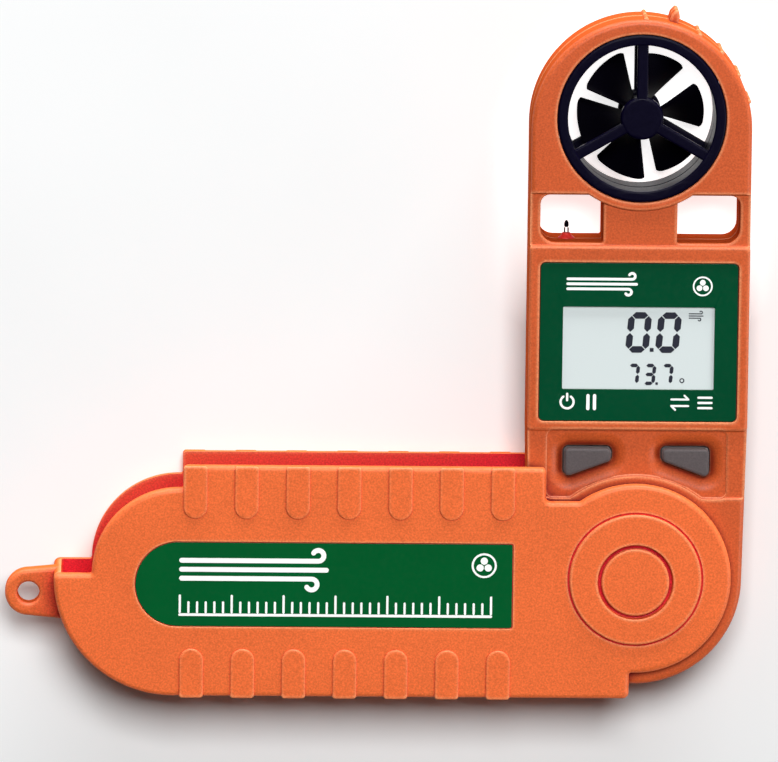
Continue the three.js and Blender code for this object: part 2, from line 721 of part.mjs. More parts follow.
const vaneGroup = assembly([
  piece('vane_housing_front', vaneHousing(1), 'black'),
  piece('vane_housing_rear', vaneHousing(-1), 'black'),
  piece('front_bearing', bearing(BEARING.front), 'brass'),
  piece('rear_bearing', bearing(BEARING.rear), 'brass'),
  piece('impeller', impeller(), 'black'),
  piece('impeller_shaft', impellerShaft(), 'steel'),
  piece('impeller_magnet', impellerMagnet(), 'steel'),
], [0, FAN.y, 0]);

const sensorGroup = assembly([
  piece('sensor_grommet', sensorGrommet(), 'meterOrange'),
  piece('thermistor_lead_left', sensorLead(-1), 'steel'),
  piece('thermistor_lead_right', sensorLead(1), 'steel'),
  piece('thermistor_bead', sensorBead(), 'black'),
], [SENSOR.x, WINDOW.low, METER.seam]);

const batteryDoorGroup = assembly([
  piece('battery_door', batteryDoor(), 'meterOrange'),
  piece('battery_door_seal', batteryDoorSeal(), 'darkRubber'),
], [0, BATTERY.y, 0]);

const meterGroup = assembly([
  piece('meter_front_shell', meterFrontShell(), 'meterOrange'),
  piece('meter_rear_shell', meterRearShell(), 'meterOrange'),
  piece('shell_seal', sealLoop(0, METER.seam - SEAL.rise, METER.seam + SEAL.rise), 'darkRubber'),
  piece('pivot_spring_washer', ring(0, 0, WASHER.outer, PIVOT.post + GAP, WASHER.low, WASHER.high), 'steel'),
  piece('display_overlay', displayOverlay(), 'green'),
  piece('lcd_glass', lcdGlass(), 'glass'),
  piece('lcd_contact_strip_upper', contactStrip(CONTACT_STRIP.ys[0]), 'rubber'),
  piece('lcd_contact_strip_lower', contactStrip(CONTACT_STRIP.ys[1]), 'rubber'),
  piece('left_button', button(-1), 'rubber'),
  piece('right_button', button(1), 'rubber'),
  piece('keypad_membrane', keypadMembrane(), 'rubber'),
  piece('left_key_dome', keyDome(-1), 'steel'),
  piece('right_key_dome', keyDome(1), 'steel'),
  piece('circuit_board', circuitBoard(), 'board'),
  piece('controller_chip', controllerChip(), 'black'),
  piece('speed_sensor', speedSensor(), 'black'),
  piece('coin_cell', coinCell(), 'steel'),
  piece('battery_contact_negative', negativeContact(), 'brass'),
  piece('battery_clip_positive', positiveClip(), 'brass'),
  ...screwSpots().map(([x, y], i) => piece(`shell_screw_${i + 1}`, shellScrew(x, y), 'steel')),
  batteryDoorGroup,
  vaneGroup,
  sensorGroup,
]);

const vaneAnemometer = new THREE.Group();
vaneAnemometer.add(caseGroup, meterGroup);

export default vaneAnemometer;
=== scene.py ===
"""The looks of the folding vane anemometer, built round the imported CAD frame.

Shapes are made in millimetres and turned into metres when a piece is finished.
+Z points out of the display, +Y along the opened meter and -X along the case.
"""

import math

import bmesh
import bpy
from mathutils import Euler, Matrix, Vector


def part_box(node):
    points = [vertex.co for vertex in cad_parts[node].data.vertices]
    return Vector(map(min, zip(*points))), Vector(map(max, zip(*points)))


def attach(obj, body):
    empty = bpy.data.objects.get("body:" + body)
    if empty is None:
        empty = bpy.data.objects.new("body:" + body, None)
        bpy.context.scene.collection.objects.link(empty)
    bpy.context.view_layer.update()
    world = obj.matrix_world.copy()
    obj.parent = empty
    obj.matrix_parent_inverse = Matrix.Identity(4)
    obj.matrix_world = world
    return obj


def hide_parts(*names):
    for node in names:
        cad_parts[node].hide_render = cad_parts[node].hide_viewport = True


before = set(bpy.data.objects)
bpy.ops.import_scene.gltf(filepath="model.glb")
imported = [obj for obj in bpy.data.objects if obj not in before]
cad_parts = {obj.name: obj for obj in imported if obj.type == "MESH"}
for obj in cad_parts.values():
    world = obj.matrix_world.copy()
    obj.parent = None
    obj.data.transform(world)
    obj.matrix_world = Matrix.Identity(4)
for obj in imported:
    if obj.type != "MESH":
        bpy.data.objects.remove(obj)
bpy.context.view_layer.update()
MM = 0.001


def box(node):
    """The node's lowest and highest corners, in millimetres."""
    low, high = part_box(node)
    return low / MM, high / MM


# ---- dimensions, in millimetres

STEP, FINE_STEP, COARSE_STEP = 5, 3, 15  # degrees of a round per facet
SHARP_TURN = 20  # degrees of turn up to which a corner is left as it is
CREASE = 32  # degrees between faces from which their edge is shaded sharp
ROUND_STEPS = 4  # facets across a rounded edge
PAST = 2  # how far a cutting solid runs past the face it cuts
GAP = 0.3
SAME_PLACE = 1e-4  # points closer than this are one
MARK_STEP = 20  # degrees of a round per facet, on printed marks
THREE_WAYS = (90, 210, 330)  # headings of three arms or blades
ON_AXIS = 0.01  # radius of the tiny ring that stands for a point on the axis
INK_UNDER, INK_OVER = 0.02, 0.03  # how deep printed marks start, and how far they stand proud

# the protective case
CASE_LOW, CASE_HIGH = 0, 19
RELIEF = 0.5  # height of the bosses over the plates
PLATE = 2
PLATE_CORNER, PLATE_EDGE = 0.95, 0.9
CASE_TOP, CASE_BOTTOM = 21.9, -22.8
SPINE_WALL, SPINE_END, SPINE_CORNER = 1.4, -0.9, 1.2
DISC_RADIUS, DISC_Y = 18.3, 0.5
NOTCH_X, NOTCH_Y = -17.3, 15.3
STEP_X = -86.4
CROWN_X, CROWN_RADIUS, SHELF_Y = -87, 16.75, 0.8
TAIL_X, TAIL_CORNER = -88.2, 1.2
RIB_COUNT, RIB_PITCH, RIB_HALF, RIB_WRAP, RIB_HEIGHT = 7, 9.77, 2.3, 0.25, 0.3
UPPER_RIB_FIRST, UPPER_RIB_LENGTH = -84.1, 10.2
LOWER_RIB_FIRST, LOWER_RIB_LENGTH = -84.65, 9.3
RIB_CORNER, RIB_EDGE = 0.6, 0.28
BOSS_GROOVE = 0.35
BOSS_RADIUS, RECESS_RADIUS, RECESS_DEPTH, BORE_RADIUS = 12.6, 7.2, 1.3, 4.8
CAP_THICK = 1
LABEL_LEFT, LABEL_RIGHT, LABEL_Y, LABEL_HALF, LABEL_RECESS = -95.4, -23.5, -1, 8.1, 0.35
LABEL_CORNER = 0.4
SCALE_LINES, SCALE_LONG_EVERY, SCALE_LONG, SCALE_SHORT = 37, 6, 3.2, 1.9
LUG_X, LUG_Y, LUG_RADIUS, LUG_HOLE, LUG_ROOT = -115.8, -4.2, 4.5, 2.1, -109.6
LUG_LOW, LUG_HIGH, LUG_FLARE = 7.5, 11.5, 0.6

# the meter's shells
METER_HALF, HEAD_Y, FOOT_RADIUS, WAIST_Y = 21, 86.9, 20.4, 28.9
FACE, BACK, WALL = 16, 2.8, 1.8
SHELL_EDGE, SEAM_EDGE = 1.0, 0.15
SEAM_LOW, SEAM_HIGH = 9.35, 9.65
FRAME_LOW, FRAME_HIGH, FRAME_FACE = 28.9, 64.5, 16.2
BAND_HIGH, BAND_FLOOR = 74.5, 15.4
KEYPAD_HALF, KEYPAD_LOW, KEYPAD_FLOOR, KEYPAD_ARC = 17.2, 15.9, 15.2, 20.3
WINDOW_INNER, WINDOW_OUTER, WINDOW_LOW, WINDOW_HIGH = 7.05, 19, 65, 74.2
GRIP_COUNT, GRIP_FIRST, GRIP_PITCH = 6, 88.5, 14.7
FIN_LOW, FIN_HIGH = 6, 13
FIN, GRIP = (2.4, 0.85, 1.1), (0.4, 0.45, 0.3)  # height, half width and how far down the neck is
BAY_HALF, BAY_NEAR, BAY_KEYS_FAR, BAY_FAR = 18, 15.5, 29.6, 62.5

# the vane wheel and its duct
FAN_Y, FAN_RIM, FAN_OUTER, FAN_BORE = 89, 17.7, 16.05, 14.05
STRUT_HALF, CARRIER_HUB, SOCKET, SOCKET_DEPTH = 1.05, 4.1, 1.9, 1.3
ARM_INSET, ARM_DEPTH, HUB_INSET, HUB_DEPTH = 0.25, 1.75, 0.2, 2.1
FAN_PLAY = 0.06
WHEEL_HUB, WHEEL_BORE = 3.4, 0.8
BLADE_LOW, BLADE_HIGH, BLADE_TIP, BLADE_FIRST = 6.8, 13.2, 12.1, 10
BLADE_COUNT, BLADE_GAP, BLADE_FLARE = 6, 1.5, 0.12
BLADE_ROOT, BLADE_HALF = 2.6, 0.42

# keys, display, screws, battery door and sensor
KEY_INNER, KEY_OUTER, KEY_TOP, KEY_INNER_LOW, KEY_OUTER_LOW = 4.9, 13.8, 25.4, 23, 19.7
KEY_CORNER = 0.9
DISH_SPREAD, DISH_FALL, DISH_CLEARANCE, DISH_STEPS, DISH_CURVE = 3.1, 1.5, 0.3, 10, 1.8
KEYPAD_BAND, OVERLAY_FLOOR, BAY_FRONT, BAY_KEYS = 15.5, 15.5, 14.2, 13.2
PIVOT_FLOOR, PIVOT_RADIUS = 15.25, 8.9
SCREW_X, SCREW_YS = 15.6, (30.5, 60.2)
SCREW_SEAT, SCREW_WELL, SCREW_BORE, SCREW_BOSS = 4.4, 2.2, 1.2, 2.7
BATTERY_Y, DOOR_RADIUS, DOOR_PLAY, DOOR_RECESS, CELL_RADIUS = 46, 12, 0.2, 1.3, 10.7
DOOR_THICK, DOOR_PLUG, TAB_REACH, TAB_HALF = 0.95, 10.4, 11.7, 1.8
SLOT_HALF, SLOT_WIDTH, DIMPLE_Y = 6, 1.6, 8.6
SENSOR_X = -13.8
LEAD_X = 0.33
DIGIT_LEAN, BAR_GAP = 0.087, 0.08
OVERLAY_HALF, OVERLAY_LOW, OVERLAY_HIGH, OVERLAY_CORNER = 18.8, 30.8, 61.2, 0.9
SCREEN_HALF, SCREEN_LOW, SCREEN_HIGH = 14.45, 36.9, 52.8
GLASS_OPENING = (-15, 15, 36.4, 53.3)
LEGEND_Y, LEGEND_SIZE = 34.4, 1.25

# ---- outlines


def arc(x, y, radius, start, end, step=STEP):
    count = max(2, math.ceil(abs(end - start) / step - 1e-6))
    angles = [math.radians(start + (end - start) * i / count) for i in range(count + 1)]
    return [(x + radius * math.cos(a), y + radius * math.sin(a)) for a in angles]


def circle(radius, x=0.0, y=0.0, step=STEP):
    return arc(x, y, radius, 0, 360, step)[:-1]


def rectangle(x0, x1, y0, y1):
    return [(x0, y0), (x1, y0), (x1, y1), (x0, y1)]


def cornered(corners):
    """The closed outline of (x, y, radius) corners, each turned into an arc unless it is shallow."""
    result = []
    for i, (x, y, radius) in enumerate(corners):
        here = Vector((x, y))
        back = Vector(corners[i - 1][:2]) - here
        ahead = Vector(corners[(i + 1) % len(corners)][:2]) - here
        turn = math.pi - back.angle(ahead)
        if turn < math.radians(SHARP_TURN) or radius == 0:
            result.append((x, y))
            continue
        reach = min(radius * math.tan(turn / 2), 0.45 * back.length, 0.45 * ahead.length)
        start = here + back.normalized() * reach
        middle = (back.normalized() + ahead.normalized()).normalized()
        centre = here + middle * (reach / math.sin(turn / 2))
        side = 1 if back.x * ahead.y - back.y * ahead.x < 0 else -1
        count = max(2, round(math.degrees(turn) / COARSE_STEP))
        for k in range(count + 1):
            turned = Matrix.Rotation(side * turn * k / count, 2) @ (start - centre)
            result.append(tuple(centre + turned))
    return result


def blended(points, radius):
    """The closed outline with all its sharp corners rounded alike."""
    return cornered([(x, y, radius) for x, y in points])


def anticlockwise(points):
    area = sum(a[0] * b[1] - b[0] * a[1] for a, b in zip(points, points[1:] + points[:1]))
    return points if area > 0 else points[::-1]


def without_repeats(points):
    kept = []
    for point in points:
        if not kept or math.dist(point, kept[-1]) > SAME_PLACE:
            kept.append(point)
    if math.dist(kept[0], kept[-1]) <= SAME_PLACE:
        kept.pop()
    return kept


def offset(points, distance):
    """The outline moved outward by a distance, with mitred corners."""
    moved = []
    for i, point in enumerate(points):
        along = (Vector(point) - Vector(points[i - 1])).normalized()
        onward = (Vector(points[(i + 1) % len(points)]) - Vector(point)).normalized()
        normal = Vector((along.y + onward.y, -along.x - onward.x))
        normal /= 1 + along.dot(onward)
        moved.append((point[0] + normal.x * distance, point[1] + normal.y * distance))
    return moved


# ---- solids


def solid(mesh, name="solid"):
    made = bpy.data.objects.new(name, mesh)
    bpy.context.scene.collection.objects.link(made)
    return made


def loft(rings):
    """A closed solid through rings of equal numbers of points."""
    shape = bmesh.new()
    rows = [[shape.verts.new(point) for point in ring] for ring in rings]
    for lower, upper in zip(rows, rows[1:]):
        for i in range(len(lower)):
            shape.faces.new((lower[i - 1], lower[i], upper[i], upper[i - 1]))
    caps = [shape.faces.new(rows[0][::-1]), shape.faces.new(rows[-1])]
    bmesh.ops.recalc_face_normals(shape, faces=shape.faces)
    bmesh.ops.triangulate(shape, faces=caps)
    mesh = bpy.data.meshes.new("loft")
    shape.to_mesh(mesh)
    shape.free()
    return solid(mesh)


def stack(outline, levels):
    """A solid whose outline is offset by a given distance at each height."""
    points = without_repeats(anticlockwise(list(outline)))
    return loft([[(x, y, z) for x, y in offset(points, out)] for z, out in sorted(levels)])


def rounding(radius):
    """(depth under the face, distance in from the side) down a rounded edge."""
    if radius == 0:
        return [(0, 0)]
    angles = [math.pi / 2 * i / ROUND_STEPS for i in range(ROUND_STEPS + 1)]
    return [(radius * (1 - math.sin(a)), radius * (1 - math.cos(a))) for a in angles]


def slab(outline, low, high, low_edge=0.0, high_edge=0.0):
    """An upright solid with rounded lower and upper edges."""
    levels = [(low + depth, -inset) for depth, inset in rounding(low_edge)]
    levels += [(high - depth, -inset) for depth, inset in rounding(high_edge)]
    return stack(outline, levels)


def well(outline, floor, face, lip=0.0, floor_edge=0.0):
    """The solid to cut a pocket from a face: a rounded lip, and a fillet round the floor."""
    way = 1 if face > floor else -1
    levels = [(floor + way * depth, -inset) for depth, inset in rounding(floor_edge)]
    levels += [(face - way * depth, inset) for depth, inset in rounding(lip)]
    levels.append((face + way * PAST, lip))
    return stack(outline, levels)


def bore(outline, low, high, lip=0.0):
    """The solid to cut a hole right through, with rounded lips."""
    levels = [(low - PAST, lip), (high + PAST, lip)]
    levels += [(low + depth, inset) for depth, inset in rounding(lip)]
    levels += [(high - depth, inset) for depth, inset in rounding(lip)]
    return stack(outline, levels)


def flat_slab(outline, low, high):
    """An upright solid with square edges."""
    return stack(outline, [(low, 0), (high, 0)])


def turned(profile, step=STEP):
    """A solid of revolution about Z from (radius, height) points, low to high."""
    return loft([[(x, y, z) for x, y in circle(max(r, ON_AXIS), step=step)] for r, z in profile])


def moved(body, x=0.0, y=0.0, z=0.0, turn=0.0):
    matrix = Matrix.Translation((x, y, z)) @ Matrix.Rotation(math.radians(turn), 4, "Z")
    body.data.transform(matrix)
    return body


def turned_over(body, middle):
    """The solid mirrored in height, for a face that looks down."""
    mirror = Matrix.Translation((0, 0, middle)) @ Matrix.Scale(-1, 4, (0, 0, 1))
    body.data.transform(mirror @ Matrix.Translation((0, 0, -middle)))
    body.data.flip_normals()
    return body


def boolean(body, tools, operation):
    group = bpy.data.collections.new("tools")
    for tool in tools:
        group.objects.link(tool)
    modifier = body.modifiers.new("boolean", "BOOLEAN")
    modifier.operation = operation
    modifier.solver = "MANIFOLD"
    modifier.operand_type = "COLLECTION"
    modifier.collection = group
    graph = bpy.context.evaluated_depsgraph_get()
    mesh = bpy.data.meshes.new_from_object(body.evaluated_get(graph))
    for used in [body, *tools]:
        bpy.data.objects.remove(used)
    bpy.data.collections.remove(group)
    return solid(mesh)


def union(first, *rest):
    return boolean(first, rest, "UNION") if rest else first


def cut(body, *tools):
    return boolean(body, tools, "DIFFERENCE")


def joined(*bodies):
    """One object of several separate closed bodies, each with its own material."""
    whole = bmesh.new()
    mesh = bpy.data.meshes.new("joined")
    for index, body in enumerate(bodies):
        before = len(whole.faces)
        whole.from_mesh(body.data)
        whole.faces.ensure_lookup_table()
        for face in whole.faces[before:]:
            face.material_index = index
        bpy.data.objects.remove(body)
    whole.to_mesh(mesh)
    whole.free()
    return solid(mesh)


def finished(body, name, rides_on, node, finishes, is_flat=True):
    """Turns a solid into a named piece: metres, shading, materials and body."""
    body.name = name
    body.data.name = name
    if len(finishes) == 1:
        body.data.materials.clear()
    for finish in finishes:
        body.data.materials.append(finish)
    shape = bmesh.new()
    shape.from_mesh(body.data)
    bmesh.ops.remove_doubles(shape, verts=shape.verts, dist=SAME_PLACE)
    bmesh.ops.triangulate(shape, faces=shape.faces, quad_method="BEAUTY", ngon_method="BEAUTY")
    shape.to_mesh(body.data)
    shape.free()
    body.data.transform(Matrix.Scale(MM, 4))
    body.data.shade_smooth()
    body.data.set_sharp_from_angle(angle=math.radians(CREASE))
    if is_flat:
        normals = body.modifiers.new("normals", "WEIGHTED_NORMAL")
        normals.keep_sharp = True
        normals.weight = 100
    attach(body, rides_on)
    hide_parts(node)
    return body


# ---- materials


class Nodes:
    """A small builder for one material's node tree."""

    def __init__(self, name):
        self.material = bpy.data.materials.new(name)
        self.material.use_nodes = True
        self.tree = self.material.node_tree
        self.shader = self.tree.nodes["Principled BSDF"]
        coordinates = self.tree.nodes.new("ShaderNodeTexCoord")
        self.place = coordinates.outputs["Object"]
        self.normal = coordinates.outputs["Normal"]

    def link(self, source, target):
        self.tree.links.new(source, target)

    def noise(self, per_mm, detail=2.0, rough=0.5):
        node = self.tree.nodes.new("ShaderNodeTexNoise")
        node.inputs["Scale"].default_value = per_mm / MM
        node.inputs["Detail"].default_value = detail
        node.inputs["Roughness"].default_value = rough
        self.link(self.place, node.inputs["Vector"])
        return node.outputs["Fac"]

    def ramp(self, source, stops):
        node = self.tree.nodes.new("ShaderNodeValToRGB")
        elements = node.color_ramp.elements
        while len(elements) < len(stops):
            elements.new(0.5)
        for element, (at, colour) in zip(elements, stops):
            element.position = at
            element.color = (*colour, 1)
        self.link(source, node.inputs["Fac"])
        return node.outputs["Color"]

    def between(self, source, low, high, from_low=0.3, from_high=0.7):
        node = self.tree.nodes.new("ShaderNodeMapRange")
        limits = {"From Min": from_low, "From Max": from_high, "To Min": low, "To Max": high}
        for name, value in limits.items():
            node.inputs[name].default_value = value
        self.link(source, node.inputs["Value"])
        return node.outputs["Result"]

    def tinted(self, colour, source, spread):
        """The colour, scaled up and down by spread as the source varies."""
        dark = tuple(c * (1 - spread) for c in colour)
        light = tuple(min(1.0, c * (1 + spread)) for c in colour)
        return self.ramp(source, [(0.3, dark), (0.7, light)])

    def mixed(self, first, second, share):
        """The first colour, with that share of the second, which is a number or a socket."""
        node = self.tree.nodes.new("ShaderNodeMix")
        node.data_type = "RGBA"
        if isinstance(share, bpy.types.NodeSocket):
            self.link(share, node.inputs["Factor"])
        else:
            node.inputs["Factor"].default_value = share
        self.link(first, node.inputs["A"])
        self.link(second, node.inputs["B"])
        return node.outputs["Result"]

    def shut_in(self, reach_mm, shut, clear):
        """1 where other surfaces within reach close a place in, falling to 0 where it is open."""
        occlusion = self.tree.nodes.new("ShaderNodeAmbientOcclusion")
        occlusion.inputs["Distance"].default_value = reach_mm * MM
        return self.between(occlusion.outputs["AO"], 1, 0, shut, clear)

    def painted_recess_shade(self, reach_mm, shut, clear):
        """The share of painted shade: 1 on a floor that other walls close in, falling to 0 on open faces and
        on upright ones.
        """
        facing = self.tree.nodes.new("ShaderNodeSeparateXYZ")
        self.link(self.normal, facing.inputs["Vector"])
        return self.product(self.shut_in(reach_mm, shut, clear), facing.outputs["Z"])

    def painted_edge_highlight(self, reach_mm, share):
        """That share of painted highlight along outward edges, falling to 0 on the faces between them."""
        inside = self.tree.nodes.new("ShaderNodeAmbientOcclusion")
        inside.inside = True
        inside.inputs["Distance"].default_value = reach_mm * MM
        return self.between(inside.outputs["AO"], share, 0, 0.6, 0.95)

    def slope(self):
        """0 where the surface is seen squarely and 1 where it is seen edge-on."""
        return self.tree.nodes.new("ShaderNodeLayerWeight").outputs["Facing"]

    def product(self, first, second):
        node = self.tree.nodes.new("ShaderNodeMath")
        node.operation = "MULTIPLY"
        node.use_clamp = True
        self.link(first, node.inputs[0])
        self.link(second, node.inputs[1])
        return node.outputs["Value"]

    def covered_glow(self, centre, inner, outer, strength):
        """That strength of painted glow where something covers the ground near a place, and nothing in the
        open.
        """
        reach_mm, shut, clear = 20, 0.5, 0.72
        away = self.tree.nodes.new("ShaderNodeVectorMath")
        away.operation = "DISTANCE"
        self.link(self.place, away.inputs[0])
        away.inputs[1].default_value = centre * MM
        near = self.between(away.outputs["Value"], strength, 0, inner * MM, outer * MM)
        geometry = self.tree.nodes.new("ShaderNodeNewGeometry")
        upper_side = self.between(geometry.outputs["Backfacing"], 1, 0, 0, 1)
        return self.product(self.product(near, self.shut_in(reach_mm, shut, clear)), upper_side)

    def bump(self, source, height_mm):
        node = self.tree.nodes.new("ShaderNodeBump")
        node.inputs["Strength"].default_value = 1.0
        node.inputs["Distance"].default_value = height_mm * MM
        self.link(source, node.inputs["Height"])
        return node.outputs["Normal"]

    def set(self, **values):
        for name, value in values.items():
            socket = self.shader.inputs[name.replace("_", " ")]
            if isinstance(value, bpy.types.NodeSocket):
                self.link(value, socket)
            else:
                socket.default_value = value
        return self.material


def linear(red, green, blue):
    """A display colour of 0 to 255 as scene-linear values."""
    def one(c):
        c /= 255
        return c / 12.92 if c <= 0.04045 else ((c + 0.055) / 1.055) ** 2.4
    return one(red), one(green), one(blue)


def moulded_plastic(name, colour, roughness=0.42, grain_mm=0.012, specular=0.25, recess=None):
    """Injection-moulded plastic with spark-eroded grain and mottling.

    With a recess, which is (colour, reach in mm, shut, clear), it has a pale highlight painted along its
    outward edges, takes that colour as painted shade where it is shut in, and loses its sheen where it is
    seen edge-on.
    """
    mottle = 0.3
    nodes = Nodes(name)
    fine = nodes.noise(2.8, detail=3, rough=0.6)
    broad = nodes.noise(0.05, detail=2)
    base = nodes.mixed(nodes.tinted(colour, fine, mottle), nodes.tinted(colour, broad, mottle / 2), 0.3)
    if recess:
        shade_colour, reach_mm, shut, clear = recess
        # Painted highlight: a pale colour along the outward edges.
        edge_highlight = nodes.tinted(linear(255, 168, 120), fine, mottle)
        deep = nodes.tinted(shade_colour, fine, mottle)
        base = nodes.mixed(base, edge_highlight, nodes.painted_edge_highlight(reach_mm=0.8, share=0.5))
        # Painted shade: the recess colour where the surface is shut in.
        base = nodes.mixed(base, deep, nodes.painted_recess_shade(reach_mm, shut, clear))
        specular = nodes.between(nodes.slope(), specular, 0, from_low=0.45, from_high=0.75)
    return nodes.set(
        Base_Color=base,
        Roughness=nodes.between(fine, roughness - 0.05, roughness + 0.07),
        Normal=nodes.bump(fine, grain_mm),
        Specular_IOR_Level=specular,
    )


def printed_film(name, colour, roughness=0.22):
    """A printed polyester label: an even colour with a very fine orange-peel surface."""
    nodes = Nodes(name)
    peel = nodes.noise(1.6, detail=1)
    return nodes.set(
        Base_Color=nodes.tinted(colour, nodes.noise(0.08), 0.05),
        Roughness=nodes.between(peel, roughness - 0.04, roughness + 0.05),
        Normal=nodes.bump(peel, 0.002),
        Specular_IOR_Level=0.25,
    )


def soft_rubber(name, colour):
    """Matt silicone rubber with a dusty speckle."""
    roughness = 0.75
    nodes = Nodes(name)
    speckle = nodes.noise(2.4, detail=4, rough=0.7)
    return nodes.set(
        Base_Color=nodes.tinted(colour, speckle, 0.3),
        Roughness=nodes.between(speckle, roughness - 0.08, roughness + 0.08),
        Normal=nodes.bump(speckle, 0.02),
        Sheen_Weight=0.15,
    )


def metal(name, colour, roughness):
    """Turned or drawn metal with fine handling marks."""
    nodes = Nodes(name)
    marks = nodes.noise(2.5, detail=4, rough=0.7)
    return nodes.set(
        Base_Color=nodes.tinted(colour, nodes.noise(0.4), 0.06),
        Metallic=1.0,
        Roughness=nodes.between(marks, roughness - 0.06, roughness + 0.1),
        Normal=nodes.bump(marks, 0.003),
    )


def display_panel(name, colour):
    """The liquid crystal's pale reflector, seen through its glass."""
    nodes = Nodes(name)
    pearl = nodes.noise(6, detail=3)
    return nodes.set(
        Base_Color=nodes.tinted(colour, pearl, 0.02),
        Roughness=nodes.between(pearl, 0.3, 0.4),
        Coat_Weight=0.3,
        Coat_Roughness=0.12,
    )


def laminate(name, colour):
    """Circuit board laminate with a woven glass pattern under its mask."""
    nodes = Nodes(name)
    weave = nodes.noise(1.2, detail=1)
    return nodes.set(
        Base_Color=nodes.tinted(colour, weave, 0.12),
        Roughness=nodes.between(weave, 0.35, 0.5),
        Normal=nodes.bump(weave, 0.01),
    )


FINISH = {
    # Painted shade: the case's deep red and the meter's dark red fill their hollows, and both plastics have a
    # painted pale highlight on their edges.
    "case": moulded_plastic("case_plastic", linear(220, 101, 48), recess=(linear(205, 22, 40), 40, 0.4, 0.9)),
    "meter": moulded_plastic("meter_plastic", linear(188, 81, 37), recess=(linear(112, 8, 12), 9, 0.4, 0.75)),
    # The sensor base is the meter's orange plastic painted darker and redder, as painted shade inside its
    # window.
    "sensor": moulded_plastic("sensor_shaded_plastic", linear(205, 50, 44)),
    "label": printed_film("label_green", linear(0, 82, 38)),
    "overlay": printed_film("overlay_green", linear(0, 66, 39)),
    "ink": printed_film("white_ink", linear(244, 246, 243), roughness=0.5),
    "black": moulded_plastic("black_plastic", linear(4, 2, 22), 0.36, grain_mm=0.002, specular=0.07),
    "vane": moulded_plastic("vane_plastic", linear(3, 2, 8), 0.5, grain_mm=0.002, specular=0.02),
    "keys": soft_rubber("key_rubber", linear(74, 66, 67)),
    "seal": soft_rubber("seal_rubber", linear(26, 26, 28)),
    "panel": display_panel("display_panel", linear(205, 214, 214)),
    "segment": display_panel("display_segment", linear(26, 28, 44)),
    "board": laminate("board_laminate", linear(28, 96, 62)),
    "steel": metal("bright_steel", linear(196, 200, 204), 0.28),
    "lead": metal("tinned_wire", linear(92, 88, 90), 0.4),
    "brass": metal("spring_brass", linear(214, 178, 104), 0.32),
}

# ---- protective case


def plate_outline():
    tail_radius = -CASE_BOTTOM
    foot_y = DISC_Y - math.sqrt(DISC_RADIUS**2 - SPINE_END**2)
    foot = math.degrees(math.atan2(foot_y - DISC_Y, SPINE_END))
    notch = 180 - math.degrees(math.asin((NOTCH_Y - DISC_Y) / DISC_RADIUS))
    crown = math.degrees(math.acos((STEP_X - CROWN_X) / CROWN_RADIUS))
    tail_y = SHELF_Y - TAIL_CORNER
    tail = 180 - math.degrees(math.asin(tail_y / tail_radius))
    tail_left = TAIL_X - math.sqrt(tail_radius**2 - tail_y**2)
    corner_x, corner_y = SPINE_END - SPINE_CORNER, CASE_BOTTOM + SPINE_CORNER
    return [
        *arc(0, DISC_Y, DISC_RADIUS, foot, notch, FINE_STEP),
        (NOTCH_X, NOTCH_Y),
        (NOTCH_X, CASE_TOP),
        (STEP_X, CASE_TOP),
        *arc(CROWN_X, SHELF_Y, CROWN_RADIUS, crown, 180, FINE_STEP),
        *arc(tail_left + TAIL_CORNER, tail_y, TAIL_CORNER, 90, 180, COARSE_STEP)[:-1],
        *arc(TAIL_X, 0, tail_radius, tail, 270, FINE_STEP),
        *arc(corner_x, corner_y, SPINE_CORNER, 270, 360, COARSE_STEP),
    ]


def rib_outline(x, edge, length):
    """A finger rib that runs inward from the edge; its length is negative if it runs down."""
    side = math.copysign(1, -length)
    tip = arc(x, edge + length + side * RIB_HALF, RIB_HALF, 180, 180 + side * 180, 10)
    return [(x - RIB_HALF, edge), *tip, (x + RIB_HALF, edge)]


def rib_places(first):
    return [first + i * RIB_PITCH for i in range(RIB_COUNT)]


def rib_outlines():
    edge, length = CASE_BOTTOM - RIB_WRAP, LOWER_RIB_LENGTH + RIB_WRAP
    upper = [rib_outline(x, CASE_TOP, -UPPER_RIB_LENGTH) for x in rib_places(UPPER_RIB_FIRST)]
    return upper + [rib_outline(x, edge, length) for x in rib_places(LOWER_RIB_FIRST)]


def boss_outline(grow=0.0):
    return circle(BOSS_RADIUS + grow, 0, DISC_Y, step=4)


def tongue(x, y, radius, root, half):
    """A strip that runs left from the line x = root to a round end about x, y."""
    return [*arc(x, y, radius, 90, 270), (root, y - half), (root, y + half)]


def label_outline(grow=0.0):
    half = LABEL_HALF + grow
    return tongue(LABEL_LEFT + LABEL_HALF, LABEL_Y, half, LABEL_RIGHT + grow, half)


def raised_parts():
    """The ribs and the boss that stand on a plate, as they are on the front."""
    low = CASE_HIGH - RELIEF - PLATE / 2
    rib_top = CASE_HIGH - RELIEF + RIB_HEIGHT
    ribs = [slab(blended(rib, RIB_CORNER), low, rib_top, high_edge=RIB_EDGE) for rib in rib_outlines()]
    return [*ribs, slab(boss_outline(), low, CASE_HIGH, high_edge=0.3)]


def hub_cuts():
    floor = CASE_HIGH - RECESS_DEPTH
    return (
        well(circle(RECESS_RADIUS), floor, CASE_HIGH, lip=0.25, floor_edge=0.3),
        bore(circle(BORE_RADIUS), CASE_HIGH - RELIEF - PLATE, floor, lip=0.15),
    )


def case_front_cover():
    face = CASE_HIGH - RELIEF
    plate = slab(blended(plate_outline(), PLATE_CORNER), face - PLATE, face, 0.25, PLATE_EDGE)
    plate = cut(plate, well(boss_outline(BOSS_GROOVE), face - BOSS_GROOVE, face, lip=0.12))
    recess = well(blended(label_outline(GAP / 2), LABEL_CORNER), face - LABEL_RECESS, face, lip=0.12)
    return cut(union(plate, *raised_parts()), *hub_cuts(), recess)


